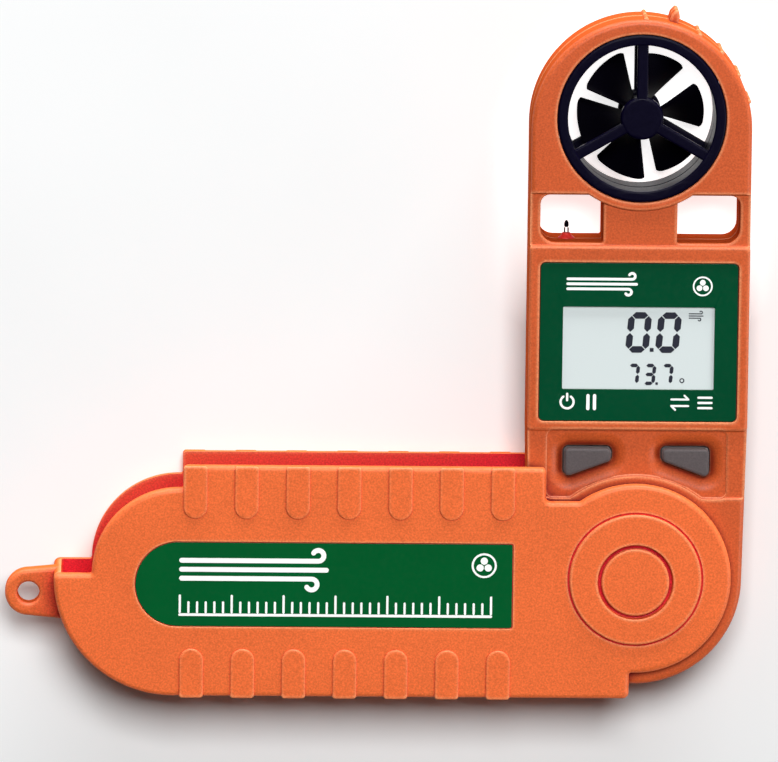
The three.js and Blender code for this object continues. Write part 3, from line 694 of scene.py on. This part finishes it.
def spine_pocket():
    """The room inside the case, as a solid that cuts it from a full-depth block, open upwards."""
    inner = -CASE_BOTTOM - SPINE_WALL
    beyond = SHELF_Y + GAP
    tail = 180 - math.degrees(math.asin(beyond / inner))
    far, floor = 60, RELIEF + PLATE
    outline = [
        *arc(TAIL_X, 0, inner, tail, 270, FINE_STEP),
        (SPINE_END, -inner), (SPINE_END, -far), (far, -far),
        (far, far), (-3 * far, far), (-3 * far, beyond),
    ]
    return slab(outline, floor, CASE_HIGH, low_edge=0.6)


def lug():
    outline = tongue(LUG_X, LUG_Y, LUG_RADIUS, LUG_ROOT, LUG_RADIUS + LUG_FLARE)
    hole = bore(circle(LUG_HOLE, LUG_X, LUG_Y), LUG_LOW, LUG_HIGH, lip=0.5)
    return cut(slab(outline, LUG_LOW, LUG_HIGH, 0.8, 0.8), hole)


def case_rear_cover():
    top, middle = CASE_HIGH - RELIEF - PLATE - GAP, (CASE_LOW + CASE_HIGH) / 2
    shell = cut(slab(blended(plate_outline(), 0.8), RELIEF, top, 0.6, 0.2), spine_pocket())
    parts = [lug(), *[turned_over(part, middle) for part in raised_parts()]]
    for x in rib_places(LOWER_RIB_FIRST):
        wrap = rectangle(x - RIB_HALF, x + RIB_HALF, CASE_BOTTOM - RIB_WRAP, CASE_BOTTOM + 0.8)
        parts.append(slab(blended(wrap, 0.35), RELIEF + 0.1, top - 0.05, 0.1, 0.2))
    return cut(union(shell, *parts), *[turned_over(tool, middle) for tool in hub_cuts()])


def stroke(points, width, *ink):
    """A printed line of even width with round ends; ink is its lower and upper height."""
    bars = []
    for start, end in zip(points, points[1:]):
        heading = math.degrees(math.atan2(end[1] - start[1], end[0] - start[0]))
        outline = arc(*end, width / 2, heading - 90, heading + 90, MARK_STEP)
        outline += arc(*start, width / 2, heading + 90, heading + 270, MARK_STEP)
        bars.append(flat_slab(outline, *ink))
    return union(*bars)


def wind_mark(x, y, size, longer, bold, *ink):
    """Three breaths of wind, each curling over at its end: a generic weather symbol."""
    marks = []
    for rise, shortest, curl in ((0.28, 1.0, 1), (0.0, 1.25, 0), (-0.28, 0.8, -1)):
        level, end = y + rise * size, x + (shortest + longer) * size
        line = [(x, level), (end, level)]
        if curl:
            radius = 0.17 * size
            line += arc(end, level + curl * radius, radius, -curl * 90, curl * 150, MARK_STEP)[1:]
        marks.append(stroke(line, bold * size, *ink))
    return marks


def fan_mark(x, y, radius, *ink):
    """A small three-bladed wheel in a ring."""
    hole = bore(circle(radius * 0.84, x, y, step=10), *ink)
    marks = [cut(flat_slab(circle(radius, x, y, step=10), *ink), hole)]
    for angle in THREE_WAYS:
        blade = [(radius * 0.06, 0), *arc(radius * 0.37, 0, radius * 0.29, -140, 140, MARK_STEP)]
        marks.append(moved(flat_slab(blade, *ink), x, y, turn=angle))
    return marks


def case_label():
    low, high = box("case_label")
    sheet = slab(blended(label_outline(), LABEL_CORNER), low.z, high.z, high_edge=0.04)
    ink = high.z - INK_UNDER, high.z + INK_OVER
    left, right = LABEL_LEFT + 8.5, LABEL_RIGHT - 4
    foot, base = LABEL_Y - 5.4, LABEL_Y - 5.9
    marks = wind_mark(left + 0.3, LABEL_Y + 2.9, 6.2, 3.2, 0.15, *ink)
    marks += fan_mark(right - 1.4, LABEL_Y + 4, 2.4, *ink)
    for i in range(SCALE_LINES):
        x = left + (right - left) * i / (SCALE_LINES - 1)
        tall = SCALE_SHORT if i % SCALE_LONG_EVERY else SCALE_LONG
        marks.append(stroke([(x, foot), (x, foot + tall)], 0.42, *ink))
    return joined(sheet, union(stroke([(left, base), (right, base)], 0.5, *ink), *marks))


def pivot_cap():
    low, high = box("pivot_cap")
    radius = (high.x - low.x) / 2
    under = high.z - CAP_THICK
    plug, chamfer = 2.6, 0.2
    edge = [(radius - inset, high.z - depth) for depth, inset in rounding(0.35)]
    stem = [(plug - chamfer, low.z), (plug, low.z + chamfer), (plug, under)]
    return turned([*stem, (radius, under), *edge, (0, high.z)])


def pivot_post():
    low, high = box("pivot_post")
    radius = (high.x - low.x) / 2
    over = low.z + CAP_THICK
    stem, hollow, hollow_floor = 4.5, 2.9, 8
    edge = [(radius - inset, low.z + depth) for depth, inset in reversed(rounding(0.35))]
    body = turned([(0, low.z), *edge, (radius, over), (stem, over), (stem, high.z)])
    return cut(body, bore(circle(hollow), hollow_floor, high.z))


def case_pieces():
    pieces = [
        (case_front_cover(), "case_front_shell", "case_front_cover"),
        (case_rear_cover(), "case_rear_shell", "case_rear_cover"),
        (pivot_cap(), "pivot_cap_moulding", "pivot_cap"),
        (pivot_post(), "pivot_post_moulding", "pivot_post"),
    ]
    for body, name, node in pieces:
        finished(body, name, "case", node, [FINISH["case"]])
    label = [FINISH["label"], FINISH["ink"]]
    finished(case_label(), "case_label_print", "case", "case_label", label)


# ---- meter shells


def meter_outline():
    return [
        *arc(0, HEAD_Y, METER_HALF, 0, 180, FINE_STEP),
        (-METER_HALF, WAIST_Y),
        *arc(0, 0, FOOT_RADIUS, 180, 360, FINE_STEP),
        (METER_HALF, WAIST_Y),
    ]


def head_grips(low, high):
    """Moulded grips round the head's side; the second is a tall thumb fin."""
    bars = []
    root = METER_HALF - 1
    for i in range(GRIP_COUNT):
        is_fin = i == 1
        height, half, neck_drop = FIN if is_fin else GRIP
        tip = METER_HALF + height
        neck = tip - neck_drop
        outline = cornered([
            (root, -half, 0), (neck, -half, 0.4), (tip, -half * 0.35, 0.3),
            (tip, half * 0.35, 0.3), (neck, half, 0.4), (root, half, 0),
        ])
        bottom, top = (max(low, FIN_LOW), min(high, FIN_HIGH)) if is_fin else (low, high)
        bar = slab(outline, bottom, top, 0.25, 0.25)
        bars.append(moved(bar, y=HEAD_Y, turn=GRIP_FIRST - i * GRIP_PITCH))
    return bars


def window_cuts(low, high):
    holes = []
    for side in (-1, 1):
        inner, outer = side * WINDOW_INNER, side * WINDOW_OUTER
        outline = cornered([
            (inner, WINDOW_LOW, 0.4), (outer, WINDOW_LOW, 2.8),
            (outer, WINDOW_HIGH, 1.8), (inner, WINDOW_HIGH, 0.4),
        ])
        holes.append(bore(outline, low, high, 0.3))
    return holes


def screw_places():
    return [(side * SCREW_X, y) for y in SCREW_YS for side in (-1, 1)]


def bay(low, high):
    """Room for the electronics, shallower behind the keys, less the screw bosses that stand in it."""
    room = flat_slab(blended(rectangle(-BAY_HALF, BAY_HALF, BAY_NEAR, BAY_FAR), 2), low, high)
    pillar = low - 1, high + 1
    bosses = [flat_slab(circle(SCREW_BOSS, x, y, COARSE_STEP), *pillar) for x, y in screw_places()]
    behind_keys = rectangle(-BAY_HALF - 1, BAY_HALF + 1, BAY_NEAR - 1, BAY_KEYS_FAR)
    return cut(room, *bosses, flat_slab(behind_keys, BAY_KEYS, FACE))


def key_outline(side):
    inner, outer = side * KEY_INNER, side * KEY_OUTER
    corners = [(outer, KEY_TOP), (inner, KEY_TOP), (inner, KEY_INNER_LOW), (outer, KEY_OUTER_LOW)]
    return blended(corners, KEY_CORNER)


def keypad_outline(half):
    """The sunken keypad area, whose lower edge runs round the pivot disc."""
    reach = math.degrees(math.asin(KEYPAD_LOW / KEYPAD_ARC))
    return [
        (-half, KEYPAD_LOW),
        *arc(0, 0, KEYPAD_ARC, 180 - reach, reach, FINE_STEP),
        (half, KEYPAD_LOW),
        (half, FRAME_LOW),
        (-half, FRAME_LOW),
    ]


def key_dish(side):
    """A smooth funnel that falls away towards the key, and the key's own opening below it."""
    levels = [(SEAM_HIGH + 1, DISH_CLEARANCE), (FACE + PAST, DISH_SPREAD)]
    for i in range(DISH_STEPS + 1):
        share = i / DISH_STEPS
        out = DISH_CLEARANCE + (DISH_SPREAD - DISH_CLEARANCE) * share
        levels.append((KEYPAD_FLOOR - DISH_FALL * (1 - share) ** DISH_CURVE, out))
    return stack(key_outline(side), levels)


def keypad_cuts():
    corner, play = 1.2, 0.3
    band = well(blended(keypad_outline(METER_HALF + PAST), 0.8), KEYPAD_BAND, FACE, 0.25, 0.2)
    recess = well(blended(keypad_outline(KEYPAD_HALF), corner), KEYPAD_FLOOR, KEYPAD_BAND, 0.25, 0.2)
    limit = flat_slab(blended(keypad_outline(KEYPAD_HALF + play), corner), SEAM_HIGH, FACE + PAST)
    dishes = boolean(union(key_dish(-1), key_dish(1)), [limit], "INTERSECT")
    return band, recess, dishes


def fan_rim(low, high, low_edge, high_edge):
    return slab(circle(FAN_RIM, 0, FAN_Y, FINE_STEP), low, high, low_edge, high_edge)


def fan_opening(low, high):
    return bore(circle(FAN_OUTER + FAN_PLAY, 0, FAN_Y, FINE_STEP), low, high, lip=0.25)


def overlay_outline():
    return blended(rectangle(-OVERLAY_HALF, OVERLAY_HALF, OVERLAY_LOW, OVERLAY_HIGH), OVERLAY_CORNER)


def meter_front_shell():
    half, beyond = METER_HALF + 0.02, METER_HALF + PAST
    surround = blended(rectangle(-half, half, FRAME_LOW, FRAME_HIGH), 0.7)
    body = union(
        slab(meter_outline(), SEAM_HIGH, FACE, SEAM_EDGE, SHELL_EDGE),
        slab(surround, SEAM_HIGH + 1, FRAME_FACE, high_edge=0.55),
        *head_grips(SEAM_HIGH, FACE - 0.6),
    )
    band = well(rectangle(-beyond, beyond, FRAME_HIGH, BAND_HIGH), BAND_FLOOR, FACE, 0.25, 0.2)
    body = cut(body, band, *window_cuts(SEAM_HIGH, BAND_FLOOR), *keypad_cuts())
    return cut(
        union(body, fan_rim(SEAM_HIGH, FACE, SEAM_EDGE, 0.35)),
        fan_opening(SEAM_HIGH, FACE),
        well(offset(overlay_outline(), GAP / 2), OVERLAY_FLOOR, FRAME_FACE, lip=0.15),
        bore(blended(rectangle(*GLASS_OPENING), 0.3), BAY_FRONT - 1, OVERLAY_FLOOR - 0.05),
        bay(SEAM_HIGH - PAST, BAY_FRONT),
        bore(circle(BORE_RADIUS), SEAM_HIGH, FACE, lip=0.2),
        well(circle(PIVOT_RADIUS), PIVOT_FLOOR, FACE, lip=0.2),
    )


def meter_rear_shell():
    low, high = BACK, SEAM_LOW
    body = union(slab(meter_outline(), low, high, SHELL_EDGE, SEAM_EDGE), *head_grips(low + 0.6, high))
    body = union(cut(body, *window_cuts(low, high)), fan_rim(low, high, 0.35, SEAM_EDGE))
    cuts = [
        fan_opening(low, high),
        bay(BACK + WALL, high + PAST),
        bore(circle(BORE_RADIUS), low, high, lip=0.2),
        well(circle(DOOR_RADIUS + DOOR_PLAY, 0, BATTERY_Y, step=4), low + DOOR_RECESS, low, lip=0.25),
        bore(circle(CELL_RADIUS, 0, BATTERY_Y), low + 1, high),
    ]
    notch = blended(rectangle(0, DOOR_RADIUS + 0.3, -TAB_HALF - 0.5, TAB_HALF + 0.5), 0.4)
    for angle in (45, 225):
        cuts.append(moved(flat_slab(notch, low + 1, high), y=BATTERY_Y, turn=angle))
    for x, y in screw_places():
        cuts.append(well(circle(SCREW_WELL, x, y, step=10), SCREW_SEAT, low, lip=0.3))
        cuts.append(bore(circle(SCREW_BORE, x, y, COARSE_STEP), low, high + 1))
    return cut(body, *cuts)


# ---- display and keys


def display_overlay():
    low, high = box("display_overlay")
    window = blended(rectangle(-SCREEN_HALF, SCREEN_HALF, SCREEN_LOW, SCREEN_HIGH), 0.25)
    sheet = cut(slab(overlay_outline(), low.z, high.z, high_edge=0.06), bore(window, low.z, high.z, 0.05))
    ink = high.z - INK_UNDER, high.z + INK_OVER
    left, right = -SCREEN_HALF + 1, SCREEN_HALF - 1
    marks = wind_mark(left - 0.2, 57.2, 3.4, 2.6, 0.15, *ink)
    marks += fan_mark(right - 1.4, 56.9, 1.9, *ink)
    marks += power_mark(left, LEGEND_Y, LEGEND_SIZE, *ink)
    marks += hold_mark(left + 4.6, LEGEND_Y, LEGEND_SIZE, *ink)
    marks += swap_mark(right - 5.4, LEGEND_Y, LEGEND_SIZE, *ink)
    marks += mode_mark(right - 0.6, LEGEND_Y, LEGEND_SIZE, *ink)
    return joined(sheet, union(*marks))


def power_mark(x, y, radius, *ink):
    """The common on and off symbol."""
    ring = stroke(arc(x, y, radius, 125, 415, MARK_STEP), radius * 0.34, *ink)
    return [ring, stroke([(x, y + 0.25 * radius), (x, y + 1.25 * radius)], radius * 0.34, *ink)]


def hold_mark(x, y, radius, *ink):
    """Two upright bars, for holding a reading."""
    bars = (x - 0.5 * radius, x + 0.5 * radius)
    return [stroke([(bar, y - radius), (bar, y + radius)], radius * 0.5, *ink) for bar in bars]


def swap_mark(x, y, radius, *ink):
    """Two opposed arrows, for changing units."""
    marks = []
    for way in (-radius, radius):
        line, tip, tail = y + 0.5 * way, x + 1.3 * way, x - 1.3 * way
        barb = (tip - 0.6 * way, line + 0.6 * way)
        marks.append(stroke([(tail, line), (tip, line), barb], radius * 0.3, *ink))
    return marks


def mode_mark(x, y, radius, *ink):
    """Three stacked lines, for choosing a mode."""
    levels = [y + row * radius for row in (-0.8, 0, 0.8)]
    return [stroke([(x - radius, level), (x + radius, level)], radius * 0.34, *ink) for level in levels]


SEGMENTS = {"0": "abcdef", "3": "abcdg", "7": "abc"}


def segment_bar(start, end, thick):
    """One bar of a digit: a long hexagon, a little short of its ends."""
    along = (Vector(end) - Vector(start)).normalized()
    across = Vector((-along.y, along.x)) * thick / 2
    a, b = Vector(start) + along * thick * BAR_GAP, Vector(end) - along * thick * BAR_GAP
    nose = along * thick / 2
    there = [a, a + nose + across, b - nose + across]
    return [tuple(p) for p in there + [b, b - nose - across, a + nose - across]]


def digit(figure, x, y, width, height, thick, *ink):
    """A seven-bar figure that leans a little, centred on x, y."""
    w, h = (width - thick) / 2, (height - thick) / 2
    ends = {
        "a": ((-w, h), (w, h)), "b": ((w, 0), (w, h)), "c": ((w, -h), (w, 0)),
        "d": ((-w, -h), (w, -h)), "e": ((-w, -h), (-w, 0)), "f": ((-w, 0), (-w, h)),
        "g": ((-w, 0), (w, 0)),
    }
    bars = []
    for bar in SEGMENTS[figure]:
        outline = segment_bar(*ends[bar], thick)
        bars.append(flat_slab([(x + px + py * DIGIT_LEAN, y + py) for px, py in outline], *ink))
    return bars


def dot(x, y, size, *ink):
    half = size / 2
    return flat_slab(blended(rectangle(x - half, x + half, y - half, y + half), 0.1), *ink)


def lcd_panel():
    """The glass module, its raised front and the dark figures that it shows."""
    low, high = box("lcd_glass")
    ledge, margin = 13.9, 0.25
    body = slab(blended(rectangle(low.x, high.x, low.y, high.y), 0.3), low.z, ledge, 0.1, 0.1)
    bosses = [flat_slab(circle(3, x, y, COARSE_STEP), low.z - 1, high.z) for x, y in screw_places()]
    screen = rectangle(-SCREEN_HALF, SCREEN_HALF, SCREEN_LOW, SCREEN_HIGH)
    front = slab(blended(offset(screen, margin), 0.2), ledge - 0.4, high.z, high_edge=0.03)
    ink = high.z - INK_UNDER, high.z + INK_UNDER
    figures = []
    for figure, x in (("0", 0.0), ("0", 5.7)):
        figures += digit(figure, x, 47.85, 4.5, 7.85, 1.28, *ink)
    for figure, x in (("7", -0.9), ("3", 2.2), ("7", 5.5)):
        figures += digit(figure, x, 39.75, 2.35, 4.15, 0.7, *ink)
    figures += [dot(2.55, 44.5, 0.75, *ink), dot(3.6, 38, 0.5, *ink)]
    figures += wind_mark(9.6, 51.1, 1.5, 0.5, 0.14, *ink)
    figures.append(stroke(arc(8.4, 38.6, 0.38, 0, 360, 30), 0.2, *ink))
    return joined(union(cut(body, *bosses), front), union(*figures))


def key(side):
    """A key top on the flange that holds it in."""
    low, high = box("left_button" if side < 0 else "right_button")
    rise, wide, narrow = (0, 0.1, 0.6, 0.7), 0.6, 0.5
    flange = [(low.z + z, out) for z, out in zip(rise, (narrow, wide, wide, narrow))]
    top = slab(key_outline(side), low.z + 0.3, high.z, high_edge=0.55)
    return union(stack(key_outline(side), flange), top)


# ---- vane wheel


def vane_housing(faces):
    """Half of the duct and its three-armed bearing carrier; faces is +1 for the front half."""
    low, high = (v.z for v in box("vane_housing_front" if faces > 0 else "vane_housing_rear"))
    outer = high if faces > 0 else low

    def behind_face(outline, start, end, edge):
        return slab(outline, *sorted((outer - faces * start, outer - faces * end)), edge, edge)

    tube = slab(circle(FAN_OUTER, step=FINE_STEP), low, high, *(0.12, 0.45)[::faces])
    ring = cut(tube, bore(circle(FAN_BORE, step=FINE_STEP), low, high, lip=0.3))
    arm = rectangle(0, FAN_BORE + 1, -STRUT_HALF, STRUT_HALF)
    arms = [moved(behind_face(arm, ARM_INSET, ARM_DEPTH, 0.35), turn=angle) for angle in THREE_WAYS]
    hub = behind_face(circle(CARRIER_HUB, step=6), HUB_INSET, HUB_DEPTH, 0.5)
    hub_back = outer - faces * HUB_DEPTH
    socket = well(circle(SOCKET, step=10), hub_back + faces * SOCKET_DEPTH, hub_back, lip=0.1)
    return moved(cut(union(ring, *arms, hub), socket), y=FAN_Y)


def blade_sweep(radius):
    """The angle that a blade turns through, so that it fills its share of the circle less the gap."""
    gap = BLADE_GAP + BLADE_FLARE * radius
    return 2 * math.pi / BLADE_COUNT - 2 * math.asin(gap / 2 / radius)


def blade(index):
    """A thin bar that twists about the axis as it rises."""
    rows, spans = 18, 6
    across = [BLADE_ROOT + (BLADE_TIP - BLADE_ROOT) * i / spans for i in range(spans)]
    start = math.radians(BLADE_FIRST + index * 360 / BLADE_COUNT)
    rings = []
    for i in range(rows + 1):
        share = i / rows
        height = BLADE_LOW + (BLADE_HIGH - BLADE_LOW) * share
        to_end = min(2, round(min(share, 1 - share) * rows))
        half = BLADE_HALF * (0.45, 0.85, 1)[to_end]
        tip = BLADE_TIP - (0.35, 0.1, 0)[to_end]
        nose = [(tip - 0.15, -half), (tip, -half * 0.5), (tip, half * 0.5), (tip - 0.15, half)]
        section = [(x, -half) for x in across] + nose + [(x, half) for x in reversed(across)]
        ring = []
        for x, y in section:
            radius = math.hypot(x, y)
            angle = math.atan2(y, x) + start + blade_sweep(radius) * (share - 0.5)
            ring.append((radius * math.cos(angle), radius * math.sin(angle), height))
        rings.append(ring)
    return loft(rings)


def impeller():
    low, high = (v.z for v in box("impeller"))
    hub = slab(circle(WHEEL_HUB, step=6), low, high, 0.5, 0.5)
    body = union(hub, *[blade(i) for i in range(BLADE_COUNT)])
    return moved(cut(body, bore(circle(WHEEL_BORE, step=COARSE_STEP), low, high, lip=0.1)), y=FAN_Y)


# ---- air temperature sensor


def in_window(body, x=SENSOR_X):
    """Lays an upright solid along +Y, with its foot on the window's lower wall."""
    body.data.transform(Matrix.Rotation(math.radians(-90), 4, "X"))
    return moved(body, x, WINDOW_LOW, (SEAM_LOW + SEAM_HIGH) / 2)


def sensor_grommet():
    plug = [(0.8, -0.4), (0.8, 0.03)]
    collar = [(1.6, 0.05), (1.55, 0.2), (1.2, 0.45), (0.95, 0.75), (0.85, 1.0), (0.7, 1.1), (0, 1.12)]
    return in_window(turned(plug + collar, 10))


def sensor_bead():
    foot = [(0, 2.1), (0.26, 2.13), (0.4, 2.25), (0.45, 2.5)]
    return in_window(turned([*foot, (0.43, 2.9), (0.33, 3.2), (0.17, 3.42), (0, 3.5)], 12))


def sensor_lead(side):
    lead = turned([(0.12, 1.1), (0.15, 1.13), (0.15, 2.02), (0.12, 2.05)], 30)
    return in_window(lead, SENSOR_X + side * LEAD_X)


# ---- battery door and screws


def battery_door():
    """A coin-slotted disc on a plug whose two tabs lock behind the shell."""
    low, high = (v.z for v in box("battery_door"))
    body = union(
        slab(circle(DOOR_RADIUS, step=4), low, low + DOOR_THICK, 0.25, 0.1),
        slab(circle(DOOR_PLUG), low + 0.5, high, high_edge=0.2),
        slab(blended(rectangle(-TAB_REACH, TAB_REACH, -TAB_HALF, TAB_HALF), 0.4), low + 2, high, 0.1, 0.1),
    )
    slot = blended(rectangle(-SLOT_HALF, SLOT_HALF, -SLOT_WIDTH / 2, SLOT_WIDTH / 2), 0.7)
    dimples = [well(circle(0.5, 0, y, 20), low + 0.3, low, lip=0.15) for y in (-DIMPLE_Y, DIMPLE_Y)]
    return moved(cut(body, well(slot, low + 0.8, low, 0.25, 0.15), *dimples), y=BATTERY_Y)


def shell_screw(index):
    """A pan-headed screw with a cross recess and a pointed end."""
    x, y = screw_places()[index]
    low, high = (v.z for v in box(f"shell_screw_{index + 1}"))
    neck, shank, point = low + 1.1, 0.9, 0.3
    head = [(0, low), (1.2, low + 0.02), (1.65, low + 0.15), (1.85, low + 0.4), (1.9, neck)]
    body = turned([*head, (shank, neck), (shank, high - 0.4), (point, high)], 10)
    for turn in (45, 135):
        arm = well(blended(rectangle(-1.15, 1.15, -0.22, 0.22), 0.1), low + 0.7, low + 0.05)
        body = cut(body, moved(arm, turn=turn))
    return moved(body, x, y)


def meter_pieces():
    shell, black, vane = FINISH["meter"], FINISH["black"], FINISH["vane"]
    pieces = [
        (meter_front_shell(), "meter_front_moulding", "meter_front_shell", shell, "meter_plastic"),
        (meter_rear_shell(), "meter_rear_moulding", "meter_rear_shell", shell, "meter_plastic"),
        (vane_housing(1), "vane_housing_front_ring", "vane_housing_front", black, "black_plastic"),
        (vane_housing(-1), "vane_housing_rear_ring", "vane_housing_rear", black, "black_plastic"),
        (sensor_grommet(), "sensor_base", "sensor_grommet", FINISH["sensor"], "meter_plastic"),
        (sensor_bead(), "sensor_tip", "thermistor_bead", vane, "black_plastic"),
    ]
    for side, name in ((-1, "thermistor_lead_left"), (1, "thermistor_lead_right")):
        pieces.append((sensor_lead(side), f"{name}_wire", name, FINISH["lead"], "bright_steel"))
    for i in range(len(screw_places())):
        name = f"shell_screw_{i + 1}"
        pieces.append((shell_screw(i), f"{name}_cross", name, FINISH["steel"], "bright_steel"))
    for body, name, node, finish, slot in pieces:
        finished(body, name, "meter", node, [finish])
    film, glass = [FINISH["overlay"], FINISH["ink"]], [FINISH["panel"], FINISH["segment"]]
    finished(display_overlay(), "display_overlay_print", "meter", "display_overlay", film)
    finished(lcd_panel(), "lcd_module", "meter", "lcd_glass", glass)
    for side, name in ((-1, "left_button"), (1, "right_button")):
        finished(key(side), f"{name}_key", name, name, [FINISH["keys"]])
    finished(impeller(), "impeller_wheel", "impeller", "impeller", [vane], is_flat=False)
    finished(battery_door(), "battery_door_cap", "battery_door", "battery_door", [shell])


# ---- parts that stay as the CAD has them

INSIDE = {
    "seal": ["shell_seal", "battery_door_seal"],
    "steel": [
        "pivot_spring_washer", "left_key_dome", "right_key_dome",
        "coin_cell", "impeller_shaft", "impeller_magnet",
    ],
    "keys": ["lcd_contact_strip_upper", "lcd_contact_strip_lower", "keypad_membrane"],
    "board": ["circuit_board"],
    "black": ["controller_chip", "speed_sensor"],
    "brass": ["battery_contact_negative", "battery_clip_positive", "front_bearing", "rear_bearing"],
}


def inside_pieces():
    for finish, names in INSIDE.items():
        for name in names:
            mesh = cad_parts[name].data
            mesh.materials.clear()
            mesh.materials.append(FINISH[finish])


# ---- stage, camera and lights

AIM = Vector((-50, 40, 10))
TILT = Euler([math.radians(a) for a in (-9.77, -1.45, 0.69)])
DISTANCE, ACROSS, DOWN = 2000, 2.695, -2.824
LENS, SENSOR = 484.8, 36


def camera():
    data = bpy.data.cameras.new("camera")
    data.lens = LENS
    data.sensor_width = SENSOR
    data.clip_start, data.clip_end = 0.05, 20
    made = bpy.data.objects.new("camera", data)
    made.location = (AIM + TILT.to_matrix() @ Vector((ACROSS, DOWN, DISTANCE))) * MM
    made.rotation_euler = TILT
    bpy.context.scene.collection.objects.link(made)
    bpy.context.scene.camera = made


def softbox(name, place, target, size, power):
    data = bpy.data.lights.new(name, "AREA")
    data.shape = "RECTANGLE"
    data.size, data.size_y = size
    data.energy = power
    made = bpy.data.objects.new(name, data)
    made.location = place
    made.rotation_euler = (Vector(target) - Vector(place)).to_track_quat("-Z", "Y").to_euler()
    bpy.context.scene.collection.objects.link(made)
    return made


def spare(light, thing):
    """Keeps a light off one object."""
    spared = bpy.data.collections.new("spared")
    spared.objects.link(thing)
    spared.collection_objects[0].light_linking.link_state = "EXCLUDE"
    light.light_linking.receiver_collection = spared


def studio(paper):
    """A large box above the far side, a low one for the upper edges, a card for the lower, dim walls.

    The card is kept off the paper, so that it doesn't lighten the object's shadow.
    """
    middle = (-0.05, 0.04, 0.01)
    softbox("key", (0.1, 1.04, 2.2), middle, (1.1, 1.0), 51)
    softbox("rim", (0.1, 1.6, 0.21), middle, (1.8, 0.36), 46)
    spare(softbox("card", (1.9, -0.45, 1.35), middle, (1.0, 1.0), 23), paper)
    world = bpy.data.worlds.new("studio")
    bpy.context.scene.world = world
    world.use_nodes = True
    background = world.node_tree.nodes["Background"].inputs
    background["Color"].default_value = (1, 1, 1, 1)
    background["Strength"].default_value = 0.04
    bpy.context.scene.view_settings.view_transform = "Standard"


def floor():
    """White paper with a painted glow where the vane head covers it, to keep its openings clear."""
    half, top = 3.0, -0.05 * MM
    mesh = bpy.data.meshes.new("floor")
    mesh.from_pydata([(x, y, top) for x, y in rectangle(-half, half, -half, half)], [], [(0, 1, 2, 3)])
    made = solid(mesh, "floor")
    nodes = Nodes("floor_paper")
    paper = nodes.noise(0.02, detail=2)
    under_head = Vector((0, FAN_Y - 9, 0))
    mesh.materials.append(nodes.set(
        Base_Color=nodes.tinted((0.932, 0.944, 0.946), paper, 0.01),
        Roughness=0.9,
        Emission_Color=(1, 1, 1, 1),
        Emission_Strength=nodes.covered_glow(under_head, inner=24, outer=40, strength=0.7),
    ))
    return made


case_pieces()
meter_pieces()
inside_pieces()
camera()
studio(floor())
